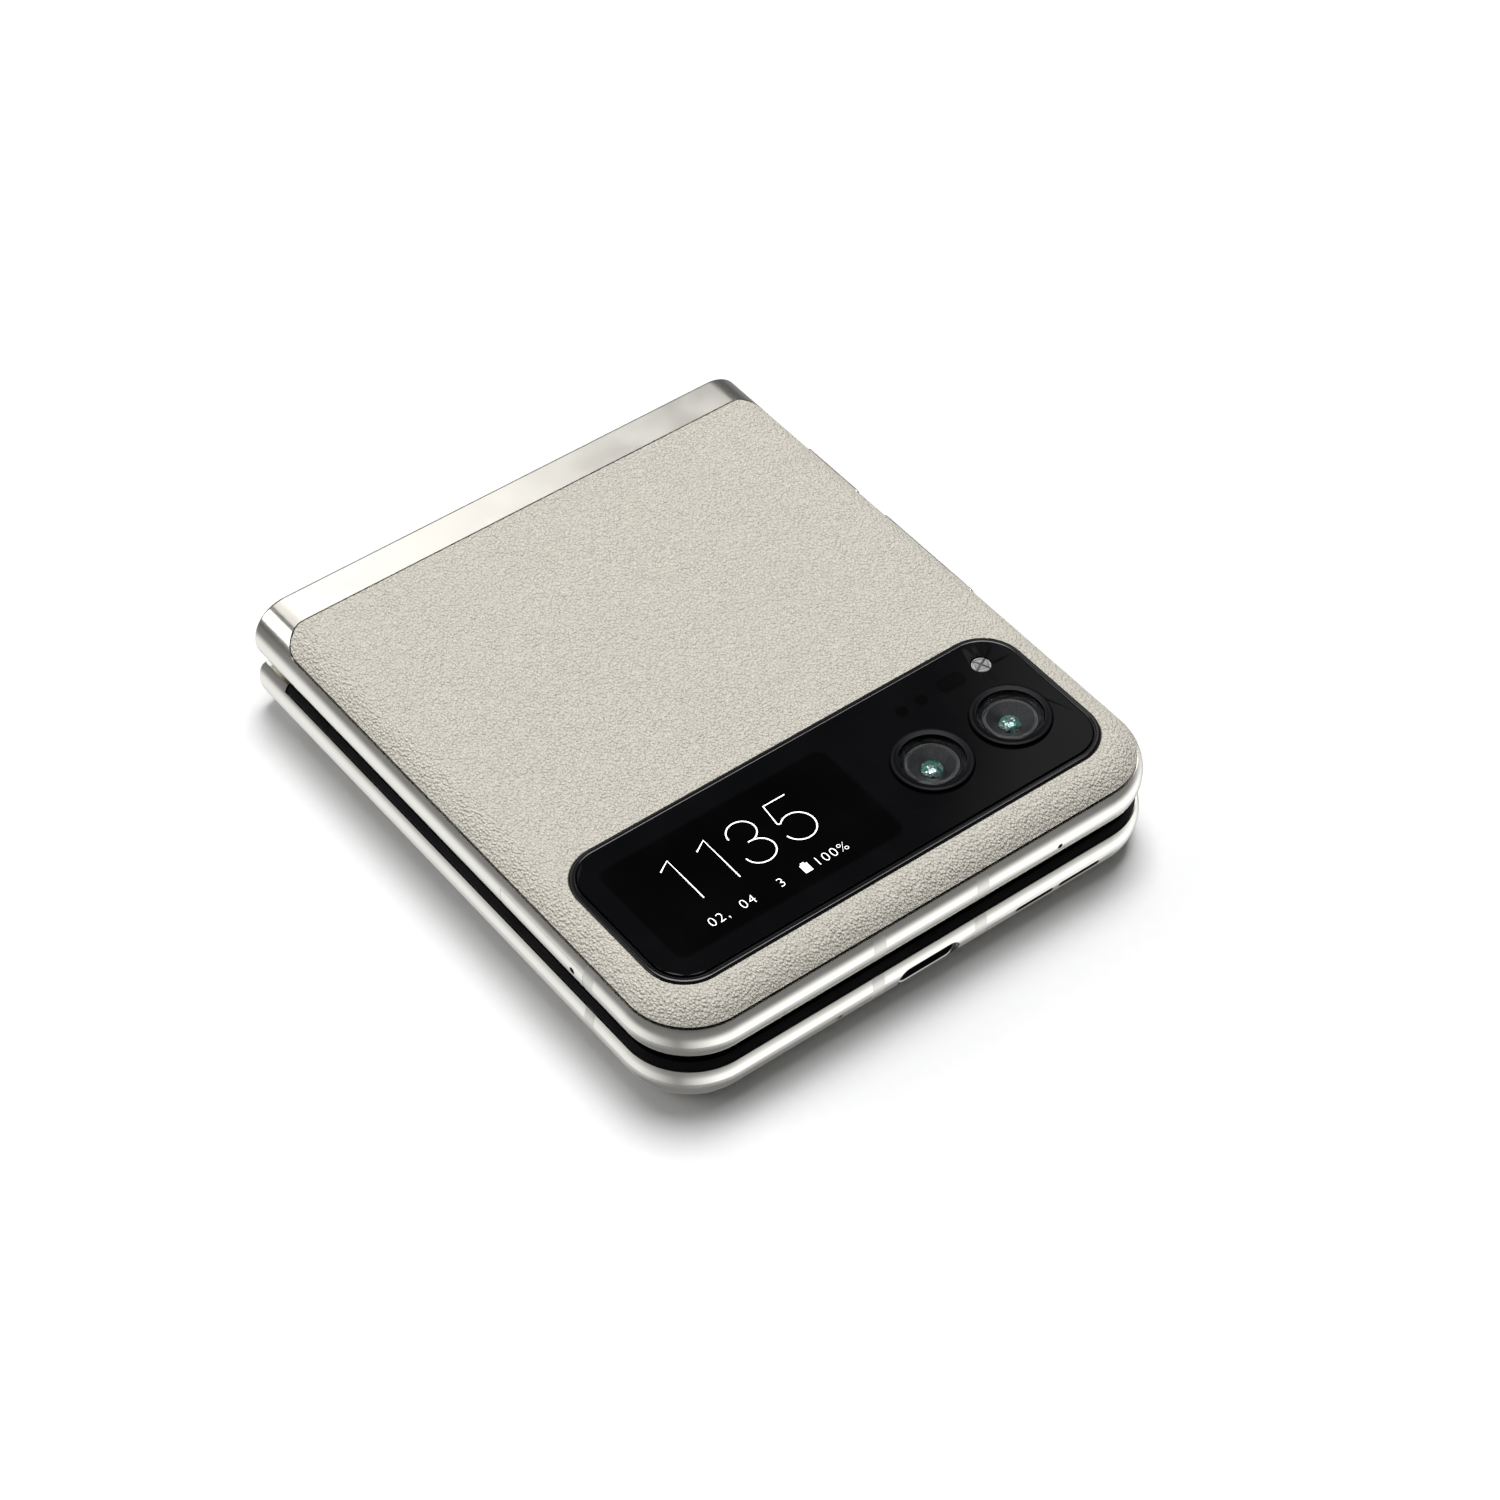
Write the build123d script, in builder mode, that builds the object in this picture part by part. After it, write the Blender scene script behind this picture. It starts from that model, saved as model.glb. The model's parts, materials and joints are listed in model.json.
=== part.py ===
from build123d import *
import os
from math import atan2, degrees, pi, sqrt

# A folding phone with an inner flexible display, lying closed on its lower half.
# X runs along the hinge, +Y points to the hinge, the free edge faces -Y, +Z is up.
# The origin is at the bottom centre of the closed phone.
# The upper half is drawn like the lower one, with Z as the depth below its outer face,
# and then mirrored about the middle of the fold gap.

os.makedirs("parts", exist_ok=True)

# ---- Driving dimensions (millimetres) ----
width = 73.95               # along the hinge
half_length = 85.32         # free edge to hinge edge of one half
half_thickness = 7.35       # outer face to inner face of one half
fold_gap = 1.1              # between the inner faces when closed
spine_reach = 2.92          # spine beyond the hinge edges when closed
edge_round = 4.65           # radius of the round side and free edges
corner_radius = 9.1         # plan radius of the free corners
rail_top = 6.43             # depth of the metal rail's inner edge
rail_wall = 2.4             # metal wall round the back pocket
seam = 0.06                 # visible joint between the skin and the metal

leather_thickness = 0.5
cover_thickness = 0.55      # polymer shell that carries the leather
glue_line = 0.02
hinge_bar = 4.99            # bare metal bar between the leather and the hinge edge
leather_corner = 3.5        # plan radius of the leather's corners at the hinge bar
upper_border = 0.7          # inset of the leather's border on the upper half
lower_border = 1.5          # the same on the lower half, clear of the socket
border_lip = 0.4            # height of the leather's cut edge

mid_plate_low = 5.1         # depth of the structural plate's outer side
mid_plate_thickness = 0.7
display_plate_thickness = 0.45
display_thickness = 0.5
display_depth = 6.35        # depth of the flexible display's back
display_border = 3.575      # side faces to the flexible display
bezel_lap = 1.1             # bezel over the display's border
bezel_inset = 0.2           # bezel inside the rails' round section
fit_gap = 0.05              # clearance between bonded or nested pieces

axis_depth = 1.5            # fold axis below a half's inner face
open_gap = 0.3              # between the two hinge edges when fully open
spine_wall = 0.6
spine_inset = 4.675         # side faces to the spine's ends
spine_side_gap = 0.3        # spine end to the metal side walls
pocket_gap = 0.33           # spine's outer face to the halves' pockets
cover_edge = 0.9            # spine cover's free edges, behind the plane of the fold axes
ledge_length = 5.7          # full-height metal ledges beside the hinge
end_round = 0.45            # edge radius of the hinge ends

cheek_width = 1.5
gear_bay = 4.0
end_cheek = 1.2
module_start = 8.6          # inner end of a hinge module
module_gap = 0.6            # hinge module to the spine cover's end wall
bracket_side_gap = 0.2
base_gap = 0.08             # hinge base to the spine cover and the pins' far side
base_front = 0.2            # hinge base behind the plane of the fold axes
shoe_inner = 2.4            # arc shoes of the brackets, about the fold axes
shoe_outer = 3.1
shoe_start = 240.0          # degrees
shoe_end = 325.0
sector_bore = 1.2
reach_teeth = 6             # teeth below the meshing one
rib_width = 0.5             # each rib of a shoe, run in a cheek's groove
groove_gap = 0.05
sector_teeth = 20           # teeth on a full circle of a bracket's gear sector
pinion_teeth = 8
gear_module = 0.2175
tooth_share = 0.36         # tooth thickness at the pitch circle, of the pitch
tooth_tip = 0.15
tooth_foot = 0.5
pin_radius = 0.25
pin_gap = 0.03
beam_depth = 5.6            # solid beam that the hinge brackets are screwed to
screw_radius = 0.6
screw_length = 2.2
screw_head = 1.1
screw_head_height = 0.4
screw_gap = 0.05
flex_half_width = 4.0
flex_thickness = 0.2
flex_channel = 5.0          # half width of the cable's channel through the hinge beam
flex_tail = 4.0             # cable beyond the beam, over the battery bay

glass_side = 4.245          # side faces to the cover glass
glass_front = 5.32          # free edge to the glass
glass_length = 23.9
glass_corner = 5.5
glass_rise = 0.35           # above the leather
glass_edge = 0.3            # rounded rim of the glass
glass_thickness = 0.8
lens_pitch = 11.95
lens_inset = 8.12           # second lens to the glass's right edge
lens_back = 10.43           # lens centres to the glass's front edge
lens_ring_radius = 5.04
lens_ring_wall = 1.02
lens_ring_rise = 0.5        # above the glass
lens_window_drop = 0.25     # lens window below the ring's top
barrel_cone = 0.9

display_window_inset = 2.83 # glass's left edge to the cover display
display_window_clear = 8.16 # cover display to the first lens's centre
display_window_front = 2.9  # glass's front edge to the cover display
display_window_length = 18.1
cover_display_thickness = 0.9

battery_side = 5.975        # side faces to the batteries
battery_corner = 1.5
battery_thickness = 3.35
sub_board_reach = 23.27     # free end of the bay to the sub-board's hinge side
main_board_reach = 34.77    # the same for the main board
board_gap = 1.0             # boards to the batteries
board_side = 4.775          # side faces to the boards, clear of the key strip
coil_thickness = 0.3
coil_border = 3.5           # coil inside the battery's length
coil_inner = 9.0
board_thickness = 0.8

key_travel = 0.3
key_rise = 0.3
key_height = 2.2
key_depth = 4.3             # depth of the keys' middle
key_gap = 0.1
key_flange = 0.6
key_flange_lap = 0.8
rocker_length = 18.0
rocker_back = 39.2          # hinge edge to the rocker's middle
power_length = 11.0
power_back = 20.2
switch_width = 0.8
switch_length = 3.0

band_width = 1.8            # antenna breaks
band_x = 7.6
band_side = 16.1            # free edge to the side breaks

tray_length = 16.0
tray_height = 2.4
tray_depth = 4.9            # depth of the tray's face plate
tray_front = 25.12          # free edge to the tray's middle
tray_face = 1.5
tray_reach = 15.4
blade_thickness = 0.8
blade_width = 11.8
card_width = 8.8
card_length = 12.3
eject_hole = 0.45
eject_offset = 6.0          # tray's middle to the eject hole

usb_width = 8.9
usb_height = 2.9
usb_centre = 3.3            # height of the socket's centre
usb_depth = 7.6
usb_wall = 0.25
usb_tongue_width = 6.6
usb_tongue_height = 0.7
port_gap = 0.1
speaker_slots = ((21.075, 5.69), (14.205, 6.24))    # side face to the slot's middle, and its length
speaker_z = 3.6
speaker_height = 0.8
speaker_width = 15.0
speaker_length = 11.0
speaker_thickness = 2.2
mic_hole = 0.35
mic_size = (4.0, 3.0, 1.0)
lower_mic = (-13.15, 3.36)  # across and up
upper_mic = (19.25, 4.97)
motor_radius = 4.0
motor_thickness = 2.4
motor_place = (10.975, 13.12)   # in from the side face and from the free edge
earpiece_size = (12.0, 2.6, 1.05)
earpiece_slit = 0.4
front_camera_radius = 2.2
front_camera_hole = 1.75
front_camera_lens = 1.3
front_camera_inset = 8.6    # free edge to the front camera
camera_body = 9.4
camera_body_depth = 3.6
barrel_radius = 3.3
barrel_front = 2.87
barrel_core = 1.48
lens_window_thickness = 0.6
flash_place = (5.28, 4.64)  # in from the glass's right and back edges
flash_radius = 1.2
sensor_radius = 0.9
sensor_places = ((14.70, 4.97), (17.68, 5.07))
laser_place = (10.0, 4.85)
laser_size = (4.0, 2.4)
window_gap = 0.1
can_wall = 0.15
can_front = 3.72            # free end of the bay to the shield cans
can_clear = 2.96            # first camera to the shield cans
can_lengths = (25.0, 18.0)
can_gap = 2.0
can_height = 1.4
inner_can_clear = 4.075     # card tray's inner end to the inner can
inner_can_front = 8.72
inner_can_length = 20.0
inner_can_height = 1.0

# ---- Places worked out from them ----
body_length = half_length + spine_reach
front_y = -body_length / 2
hinge_y = front_y + half_length
total_height = 2 * half_thickness + fold_gap
middle_z = total_height / 2
fold_plane = Plane.XY.offset(middle_z)

axis_spacing = 2 * axis_depth + fold_gap
axis_z = half_thickness - axis_depth
tip_reach = (axis_spacing - open_gap) / 2
axis_y = hinge_y - tip_reach
spine_radius = hinge_y + spine_reach - axis_y
pocket_radius = spine_radius + pocket_gap
pocket_y = axis_y - pocket_radius
bar_floor = axis_z - pocket_radius

leather_end = hinge_y - hinge_bar
cover_depth = leather_thickness + glue_line
pocket_depth = cover_depth + cover_thickness + fit_gap
beam_y = pocket_y - beam_depth
mid_plate_top = mid_plate_low + mid_plate_thickness
display_top = display_depth + display_thickness
display_plate_low = mid_plate_top + fit_gap
display_half_width = width / 2 - display_border
display_pocket = display_border - 2 * fit_gap
spine_half = width / 2 - spine_inset
run_out = half_length + 30
tiny = 1e-3

addendum = 0.9 * gear_module
dedendum = 1.2 * gear_module
sector_pitch = gear_module * sector_teeth / 2
pinion_pitch = gear_module * pinion_teeth / 2
first_pinion_z = middle_z - 3 * pinion_pitch
sector_to_pinion = sector_pitch + pinion_pitch
pinion_y = axis_y + sqrt(sector_to_pinion**2 - (first_pinion_z - axis_z) ** 2)
cover_inner = spine_radius - spine_wall
lower_axis = (axis_y, axis_z)
upper_axis = (axis_y, total_height - axis_z)

module_end = spine_half - spine_wall - module_gap
bay_width = (module_end - module_start - 3 * cheek_width - gear_bay - end_cheek) / 2
lower_bay = module_start + cheek_width
upper_bay = lower_bay + bay_width + cheek_width
gear_start = upper_bay + bay_width + cheek_width
lower_plate_start = lower_bay + bracket_side_gap
gear_low = gear_start + 2 * fit_gap
gear_slot = (gear_bay - 4 * fit_gap) / 3
sector_width = gear_slot - fit_gap
lower_plate_end = gear_low + sector_width
upper_plate_start = upper_bay + bracket_side_gap
upper_plate_end = gear_low + 3 * gear_slot
screw_y = beam_y + beam_depth / 2
lower_screws = [lower_plate_start + share * (lower_plate_end - lower_plate_start) for share in (0.18, 0.53, 0.86)]
upper_screws = [upper_plate_start + share * (upper_plate_end - upper_plate_start) for share in (0.17, 0.475, 0.845)]

glass_front_y = front_y + glass_front
glass_back_y = glass_front_y + glass_length
glass_y = (glass_front_y + glass_back_y) / 2
glass_right = width / 2 - glass_side
glass_width = 2 * glass_right
glass_low = leather_thickness - fit_gap - glass_thickness
lens_y = glass_front_y + lens_back
lens_places = ((glass_right - lens_inset - lens_pitch, lens_y), (glass_right - lens_inset, lens_y))
ring_low = -glass_rise - lens_ring_rise
display_window_left = glass_right - display_window_inset
display_window_right = lens_places[0][0] - display_window_clear
board_low = mid_plate_low - 1.9
blade_low = mid_plate_low - fit_gap * 2 - blade_thickness

bay_front = front_y + rail_wall
battery_half = width / 2 - battery_side
board_half = width / 2 - board_side
can_right = lens_places[0][0] - camera_body / 2 - can_clear
can_width = (can_right + battery_half - can_gap) / 2
rocker_y = hinge_y - rocker_back
power_y = hinge_y - power_back
tray_y = front_y + tray_front
eject_y = tray_y - eject_offset
slot_places = [(width / 2 - inset, length) for inset, length in speaker_slots]


def export_piece(piece, label):
    """Label a finished piece and write its STEP file."""
    piece.part.label = label
    export_step(piece.part, f"parts/{label}.step")


def round_slab(inset, y_end, z_end):
    """Add the round-edged slab of one half, inset all round and cut off at y_end and z_end."""
    radius = edge_round - inset
    with BuildPart(mode=Mode.PRIVATE) as slab:
        with BuildSketch(Plane.XY.offset(inset)) as outline:
            with Locations((0, front_y + inset)):
                Rectangle(width - 2 * inset, run_out, align=(Align.CENTER, Align.MIN))
            fillet(outline.vertices().group_by(Axis.Y)[0], corner_radius - inset)
        extrude(amount=2 * radius)
        rims = slab.edges().filter_by(lambda e: abs(e.center().Z - edge_round) > radius - tiny)
        fillet(rims.filter_by(lambda e: e.center().Y < front_y + inset + run_out - tiny), radius - 2 * tiny)
        split(bisect_by=Plane.XY.offset(z_end), keep=Keep.BOTTOM)
        split(bisect_by=Plane.XZ.offset(-y_end), keep=Keep.TOP)
    add(slab.part)


def plan_outline(inset, y_end, end_radius=0.0):
    """Add the plan outline of a half, inset all round and closed at y_end."""
    with BuildSketch(mode=Mode.PRIVATE) as outline:
        with Locations((0, front_y + inset)):
            Rectangle(width - 2 * inset, y_end - front_y - inset, align=(Align.CENTER, Align.MIN))
        fillet(outline.vertices().group_by(Axis.Y)[0], corner_radius - inset)
        if end_radius:
            fillet(outline.vertices().group_by(Axis.Y)[-1], end_radius)
    add(outline.sketch)


def border_depth(inset):
    """Depth at which the round edge is inset by the given amount."""
    return edge_round - sqrt(edge_round**2 - (edge_round - inset) ** 2)


def cover_zone(border, grow=0.0):
    """Add the block that the leather and its shell fill on the outer face of a half."""
    with BuildPart(mode=Mode.PRIVATE) as zone:
        with BuildSketch():
            plan_outline(border - grow, leather_end + grow, leather_corner + grow)
        extrude(amount=border_depth(border) + border_lip)
    return zone.part


def block(x_low, x_high, y_low, y_high, z_low, z_high, corner=0.0, mode=Mode.ADD):
    """Add or cut a block between the given faces, with round corners in plan."""
    with BuildPart(mode=Mode.PRIVATE) as piece:
        with BuildSketch(Plane.XY.offset(z_low)):
            with Locations(((x_low + x_high) / 2, (y_low + y_high) / 2)):
                if corner:
                    RectangleRounded(x_high - x_low, y_high - y_low, corner)
                else:
                    Rectangle(x_high - x_low, y_high - y_low)
        extrude(amount=z_high - z_low)
    add(piece.part, mode=mode)


def post(x, y, radius, z_low, z_high, mode=Mode.ADD):
    """Add or cut an upright cylinder."""
    with BuildPart(mode=Mode.PRIVATE) as piece:
        with BuildSketch(Plane.XY.offset(z_low)):
            with Locations((x, y)):
                Circle(radius)
        extrude(amount=z_high - z_low)
    add(piece.part, mode=mode)


def edge_slot(x, z, length, height, y_low, y_high, mode=Mode.SUBTRACT):
    """Cut or add a round-ended slot that runs along Y through a free edge."""
    with BuildPart(mode=Mode.PRIVATE) as piece:
        with BuildSketch(Plane.XZ.offset(-y_high)):
            with Locations((x, z)):
                if length > height + tiny:
                    SlotOverall(length, height)
                else:
                    Circle(height / 2)
        extrude(amount=y_high - y_low)
    add(piece.part, mode=mode)


def hinge_pocket(half_span, mode=Mode.SUBTRACT):
    """Cut the space that the spine turns in from the hinge end of a half."""
    with BuildPart(mode=Mode.PRIVATE) as pocket:
        with BuildSketch(Plane.YZ.offset(-half_span)):
            with Locations((axis_y, axis_z)):
                Circle(pocket_radius)
            with Locations((axis_y, bar_floor)):
                Rectangle(hinge_y, pocket_radius, align=(Align.MIN, Align.MIN))
            with Locations((pocket_y, axis_z)):
                Rectangle(hinge_y, half_thickness, align=(Align.MIN, Align.MIN))
        extrude(amount=2 * half_span)
    add(pocket.part, mode=mode)


def half_frame(border):
    """The metal frame of one half: rails, structural plate, hinge beam and hinge bar."""
    with BuildPart(mode=Mode.PRIVATE) as frame:
        round_slab(0, hinge_y, half_thickness)
        # everything above the rails, apart from the ledges beside the hinge
        block(-width, width, front_y - 1, hinge_y - ledge_length, rail_top, half_thickness + 1, mode=Mode.SUBTRACT)
        # the ledges' inner corners turn past each other round the fold axes
        with BuildSketch(Plane.YZ.offset(-width / 2)):
            with Locations((axis_y, axis_z)):
                Rectangle(2 * tip_reach, 2 * axis_depth, align=(Align.MIN, Align.MIN))
                Circle(tip_reach, mode=Mode.SUBTRACT)
        extrude(amount=width, mode=Mode.SUBTRACT)
        # room for the leather and its shell, around the solid core of the hinge beam
        with BuildPart(mode=Mode.PRIVATE) as core:
            round_slab(pocket_depth, leather_end + 1, half_thickness)
        add(cover_zone(border, seam) - core.part, mode=Mode.SUBTRACT)
        # back pocket
        with BuildSketch():
            plan_outline(rail_wall, beam_y)
        extrude(amount=mid_plate_low, mode=Mode.SUBTRACT)
        # display pocket
        with BuildSketch(Plane.XY.offset(mid_plate_top)):
            plan_outline(display_pocket, hinge_y + 1)
        extrude(amount=half_thickness, mode=Mode.SUBTRACT)
        hinge_pocket(spine_half + spine_side_gap)
        # softened corners at the hinge end
        ends = frame.faces().filter_by(lambda f: f.center().Y > hinge_y - tiny)
        lower_ends = ends.edges().filter_by(lambda e: e.center().Z < mid_plate_top - tiny)
        outside = lower_ends.filter_by(lambda e: e.center().Z < bar_floor / 2 or abs(e.center().X) > spine_half + 2)
        fillet(outside, end_round)
    return frame.part


def flip():
    """Turn a piece drawn for the lower half over into the upper half."""
    mirror(about=fold_plane, mode=Mode.REPLACE)


def antenna_breaks():
    """The places where plastic breaks the metal rail of a half."""
    inner_x = width / 2 - rail_wall
    side_y = front_y + band_side
    with BuildPart(mode=Mode.PRIVATE) as breaks:
        for side in (-1, 1):
            middle = side * band_x
            block(middle - band_width / 2, middle + band_width / 2, front_y - 1, front_y + rail_wall, 0, rail_top)
            near, far = sorted((side * inner_x, side * (width / 2 + 1)))
            block(near, far, side_y - band_width / 2, side_y + band_width / 2, 0, rail_top)
    return breaks.part


def leather_skin(border):
    """Thin leather skin that curves down to its border."""
    round_slab(0, leather_end + 1, half_thickness)
    add(cover_zone(border), mode=Mode.INTERSECT)
    with BuildPart(mode=Mode.PRIVATE) as inside:
        round_slab(leather_thickness, leather_end + 2, half_thickness)
    add(inside.part, mode=Mode.SUBTRACT)


def cover_shell(border):
    """Polymer shell under the leather."""
    round_slab(cover_depth, leather_end + 1, half_thickness)
    add(cover_zone(border), mode=Mode.INTERSECT)
    with BuildPart(mode=Mode.PRIVATE) as inside:
        round_slab(cover_depth + cover_thickness, leather_end + 2, half_thickness)
    add(inside.part, mode=Mode.SUBTRACT)


def display_bezel():
    """Black frame round the inner display, open at the hinge."""
    bezel_end = hinge_y - ledge_length - fit_gap
    round_slab(bezel_inset, bezel_end, half_thickness)
    block(-width, width, front_y - 1, hinge_y, -1, rail_top, mode=Mode.SUBTRACT)
    with BuildSketch() as lap:
        plan_outline(display_border + bezel_lap, hinge_y)
    extrude(lap.sketch, amount=half_thickness + 1, mode=Mode.SUBTRACT)
    with BuildSketch() as room:
        plan_outline(display_pocket, hinge_y)
    extrude(room.sketch, amount=display_top + fit_gap, mode=Mode.SUBTRACT)


def display_sheet(z_low, thickness, y_end):
    """A flat sheet of the inner display's outline."""
    with BuildSketch(Plane.XY.offset(z_low)) as sheet:
        plan_outline(display_border, y_end)
    extrude(sheet.sketch, amount=thickness)


def arc_band(centre, inner, outer, start, end):
    """Add a ring sector about centre, between two angles in degrees."""
    with BuildSketch(mode=Mode.PRIVATE) as band:
        with BuildLine():
            rim = CenterArc(centre, outer, start, end - start)
            bore = CenterArc(centre, inner, start, end - start)
            Line(rim @ 0, bore @ 0)
            Line(rim @ 1, bore @ 1)
        make_face()
    add(band.sketch)


def gear_teeth(centre, pitch_radius, circle_teeth, phase, first, last):
    """Add the teeth numbered first to last of a gear, tooth 0 standing at the phase angle."""
    pitch = 2 * pi * pitch_radius / circle_teeth
    tip = pitch_radius + addendum
    root = pitch_radius - dedendum
    for number in range(first, last + 1):
        angle = phase + number * 360 / circle_teeth
        with Locations(Location((centre[0], centre[1], 0), (0, 0, angle))):
            Polygon(
                (root - addendum, -tooth_foot * pitch / 2),
                (root, -tooth_foot * pitch / 2),
                (pitch_radius, -tooth_share * pitch / 2),
                (tip, -tooth_tip * pitch / 2),
                (tip, tooth_tip * pitch / 2),
                (pitch_radius, tooth_share * pitch / 2),
                (root, tooth_foot * pitch / 2),
                (root - addendum, tooth_foot * pitch / 2),
                align=None,
            )


def mesh_phase(phase, teeth, direction, next_teeth):
    """Phase of the next gear so that its gap meets this gear's tooth, seen in the given direction."""
    offset = ((direction - phase) * teeth / 360) % 1
    return direction + 180 - (0.5 - offset) * 360 / next_teeth


def spine_section(radius, y_front):
    """Add the spine's section: round about both fold axes and open towards the halves."""
    with BuildSketch(mode=Mode.PRIVATE) as section:
        with Locations((axis_y, middle_z)):
            SlotCenterToCenter(axis_spacing, 2 * radius, rotation=90)
        with Locations((y_front, middle_z)):
            Rectangle(body_length, 3 * total_height, align=(Align.MIN, Align.CENTER), mode=Mode.INTERSECT)
    add(section.sketch)


def along_x(section, x_low, x_high, mode=Mode.ADD):
    """Extrude a sketch of the YZ plane between two places along the hinge."""
    extrude(section.moved(Location((x_low, 0, 0))), amount=x_high - x_low, dir=(1, 0, 0), mode=mode)


def both_sides():
    """Repeat the right-hand hinge module on the left."""
    mirror(about=Plane.YZ)


lower_blank = half_frame(lower_border)
upper_blank = half_frame(upper_border)


def bracket_seats(start, end, screws):
    """Cut the hinge beam for the brackets' plates and their screws."""
    for side in (-1, 1):
        near, far = sorted((side * (start - fit_gap), side * (end + fit_gap)))
        block(near, far, beam_y - fit_gap, pocket_y + 1, mid_plate_low, mid_plate_top + 1, mode=Mode.SUBTRACT)
        for screw_x in screws:
            shaft_low = mid_plate_top - screw_head_height - screw_length
            post(side * screw_x, screw_y, screw_radius + fit_gap / 2, shaft_low, mid_plate_top, mode=Mode.SUBTRACT)


def flex_passage():
    """Cut the fold cable's way over the hinge beam into the battery bay."""
    block(-flex_channel, flex_channel, beam_y - flex_tail, pocket_y + 1, mid_plate_low, mid_plate_top + 1,
          mode=Mode.SUBTRACT)


def bracket_plate(start, end, screws):
    """Plate of one hinge bracket, with its counterbored screw holes."""
    block(start, end, beam_y, pocket_y, mid_plate_low, mid_plate_top)
    head_low = mid_plate_top - screw_head_height - fit_gap
    for screw_x in screws:
        post(screw_x, screw_y, screw_radius + screw_gap, mid_plate_low, mid_plate_top, mode=Mode.SUBTRACT)
        post(screw_x, screw_y, screw_head + screw_gap, head_low, mid_plate_top, mode=Mode.SUBTRACT)


def bracket_finger(x_low, x_high, inner):
    """Bar of a bracket that reaches from its plate to an arc of the given inner radius."""
    block(x_low, x_high, pocket_y - 1, axis_y - inner, mid_plate_low, mid_plate_top)


def hinge_bracket(bay, sector_start, start, end, screws, phase):
    """One right-hand bracket: plate, arc shoe with ribs, and gear sector."""
    arc_start = 180 + degrees(atan2(axis_z - mid_plate_top, shoe_inner))
    bracket_plate(start, end, screws)
    bracket_finger(bay + bracket_side_gap, bay + bay_width - bracket_side_gap, shoe_outer - fit_gap)
    with BuildSketch(Plane.YZ, mode=Mode.PRIVATE) as shoe:
        arc_band(lower_axis, shoe_inner, shoe_outer, arc_start, shoe_end)
    along_x(shoe.sketch, bay + bracket_side_gap, bay + bay_width - bracket_side_gap)
    with BuildSketch(Plane.YZ, mode=Mode.PRIVATE) as ribs:
        arc_band(lower_axis, shoe_inner, shoe_outer, shoe_start, shoe_end)
    along_x(ribs.sketch, bay - rib_width + fit_gap, bay + bay_width + rib_width - fit_gap)
    bracket_finger(sector_start, sector_start + sector_width, sector_pitch - dedendum - fit_gap)
    with BuildSketch(Plane.YZ, mode=Mode.PRIVATE) as sector:
        sector_first = 180 + degrees(atan2(axis_z - mid_plate_top, sector_bore))
        arc_band(lower_axis, sector_bore, sector_pitch - dedendum, sector_first, 360 + mesh_direction + 6)
        gear_teeth(lower_axis, sector_pitch, sector_teeth, phase, -reach_teeth, 0)
    along_x(sector.sketch, sector_start, sector_start + sector_width)


def bracket_screws(screws):
    """The screws of the brackets on both sides."""
    head_low = mid_plate_top - screw_head_height
    for side in (-1, 1):
        for screw_x in screws:
            post(side * screw_x, screw_y, screw_radius, head_low - screw_length + fit_gap, head_low)
            post(side * screw_x, screw_y, screw_head, head_low, mid_plate_top - fit_gap / 2)


def pinion(number, phase, first_slot, last_slot):
    """Both pinions of one place in the train, counted from the lower half, across some of the gear slots."""
    centre = (pinion_y, first_pinion_z + number * 2 * pinion_pitch)
    with BuildSketch(Plane.YZ, mode=Mode.PRIVATE) as wheel:
        with Locations(centre):
            Circle(pinion_pitch - dedendum)
        gear_teeth(centre, pinion_pitch, pinion_teeth, phase, 0, pinion_teeth - 1)
        with Locations(centre):
            Circle(pin_radius + pin_gap, mode=Mode.SUBTRACT)
    along_x(wheel.sketch, gear_low + first_slot * gear_slot, gear_low + (last_slot + 1) * gear_slot)
    both_sides()


def sheet_on_half(z_low, thickness):
    """A sheet of the inner display's outline that ends at the fold."""
    display_sheet(z_low, thickness, axis_y - fit_gap / 2)


# ---- Lower half: metal, covers and display ----
with BuildPart() as lower_frame:
    add(lower_blank)
    add(antenna_breaks(), mode=Mode.SUBTRACT)
    wall_in = front_y + rail_wall + 1.2
    edge_slot(0, usb_centre, usb_width + 2 * port_gap, usb_height + 2 * port_gap, front_y - 1, wall_in)
    for slot_x, slot_length in slot_places:
        edge_slot(slot_x, speaker_z, slot_length, speaker_height, front_y - 1, wall_in)
    edge_slot(lower_mic[0], lower_mic[1], 0, 2 * mic_hole, front_y - 1, wall_in)
    bracket_seats(lower_plate_start, lower_plate_end, lower_screws)
    flex_passage()
export_piece(lower_frame, "lower_frame")

with BuildPart() as lower_antenna_bands:
    add(lower_blank)
    add(antenna_breaks(), mode=Mode.INTERSECT)
export_piece(lower_antenna_bands, "lower_antenna_bands")

with BuildPart() as lower_leather:
    leather_skin(lower_border)
export_piece(lower_leather, "lower_leather")

with BuildPart() as lower_back_shell:
    cover_shell(lower_border)
export_piece(lower_back_shell, "lower_back_shell")

with BuildPart() as lower_bezel:
    display_bezel()
export_piece(lower_bezel, "lower_bezel")

with BuildPart() as display_lower:
    sheet_on_half(display_depth, display_thickness)
export_piece(display_lower, "display_lower")

with BuildPart() as display_plate_lower:
    sheet_on_half(display_plate_low, display_plate_thickness)
export_piece(display_plate_lower, "display_plate_lower")

# ---- Lower half: what it holds ----
battery_end = beam_y - window_gap * 10
board_end = bay_front + sub_board_reach
battery_front = board_end + board_gap
with BuildPart() as battery_main:
    battery_low = mid_plate_low - 4 * fit_gap - battery_thickness
    block(-battery_half, battery_half, battery_front, battery_end,
          battery_low, battery_low + battery_thickness, battery_corner)
    fillet(battery_main.edges().filter_by(GeomType.LINE).filter_by(Axis.Z, reverse=True), 0.4)
export_piece(battery_main, "battery_main")

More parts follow.
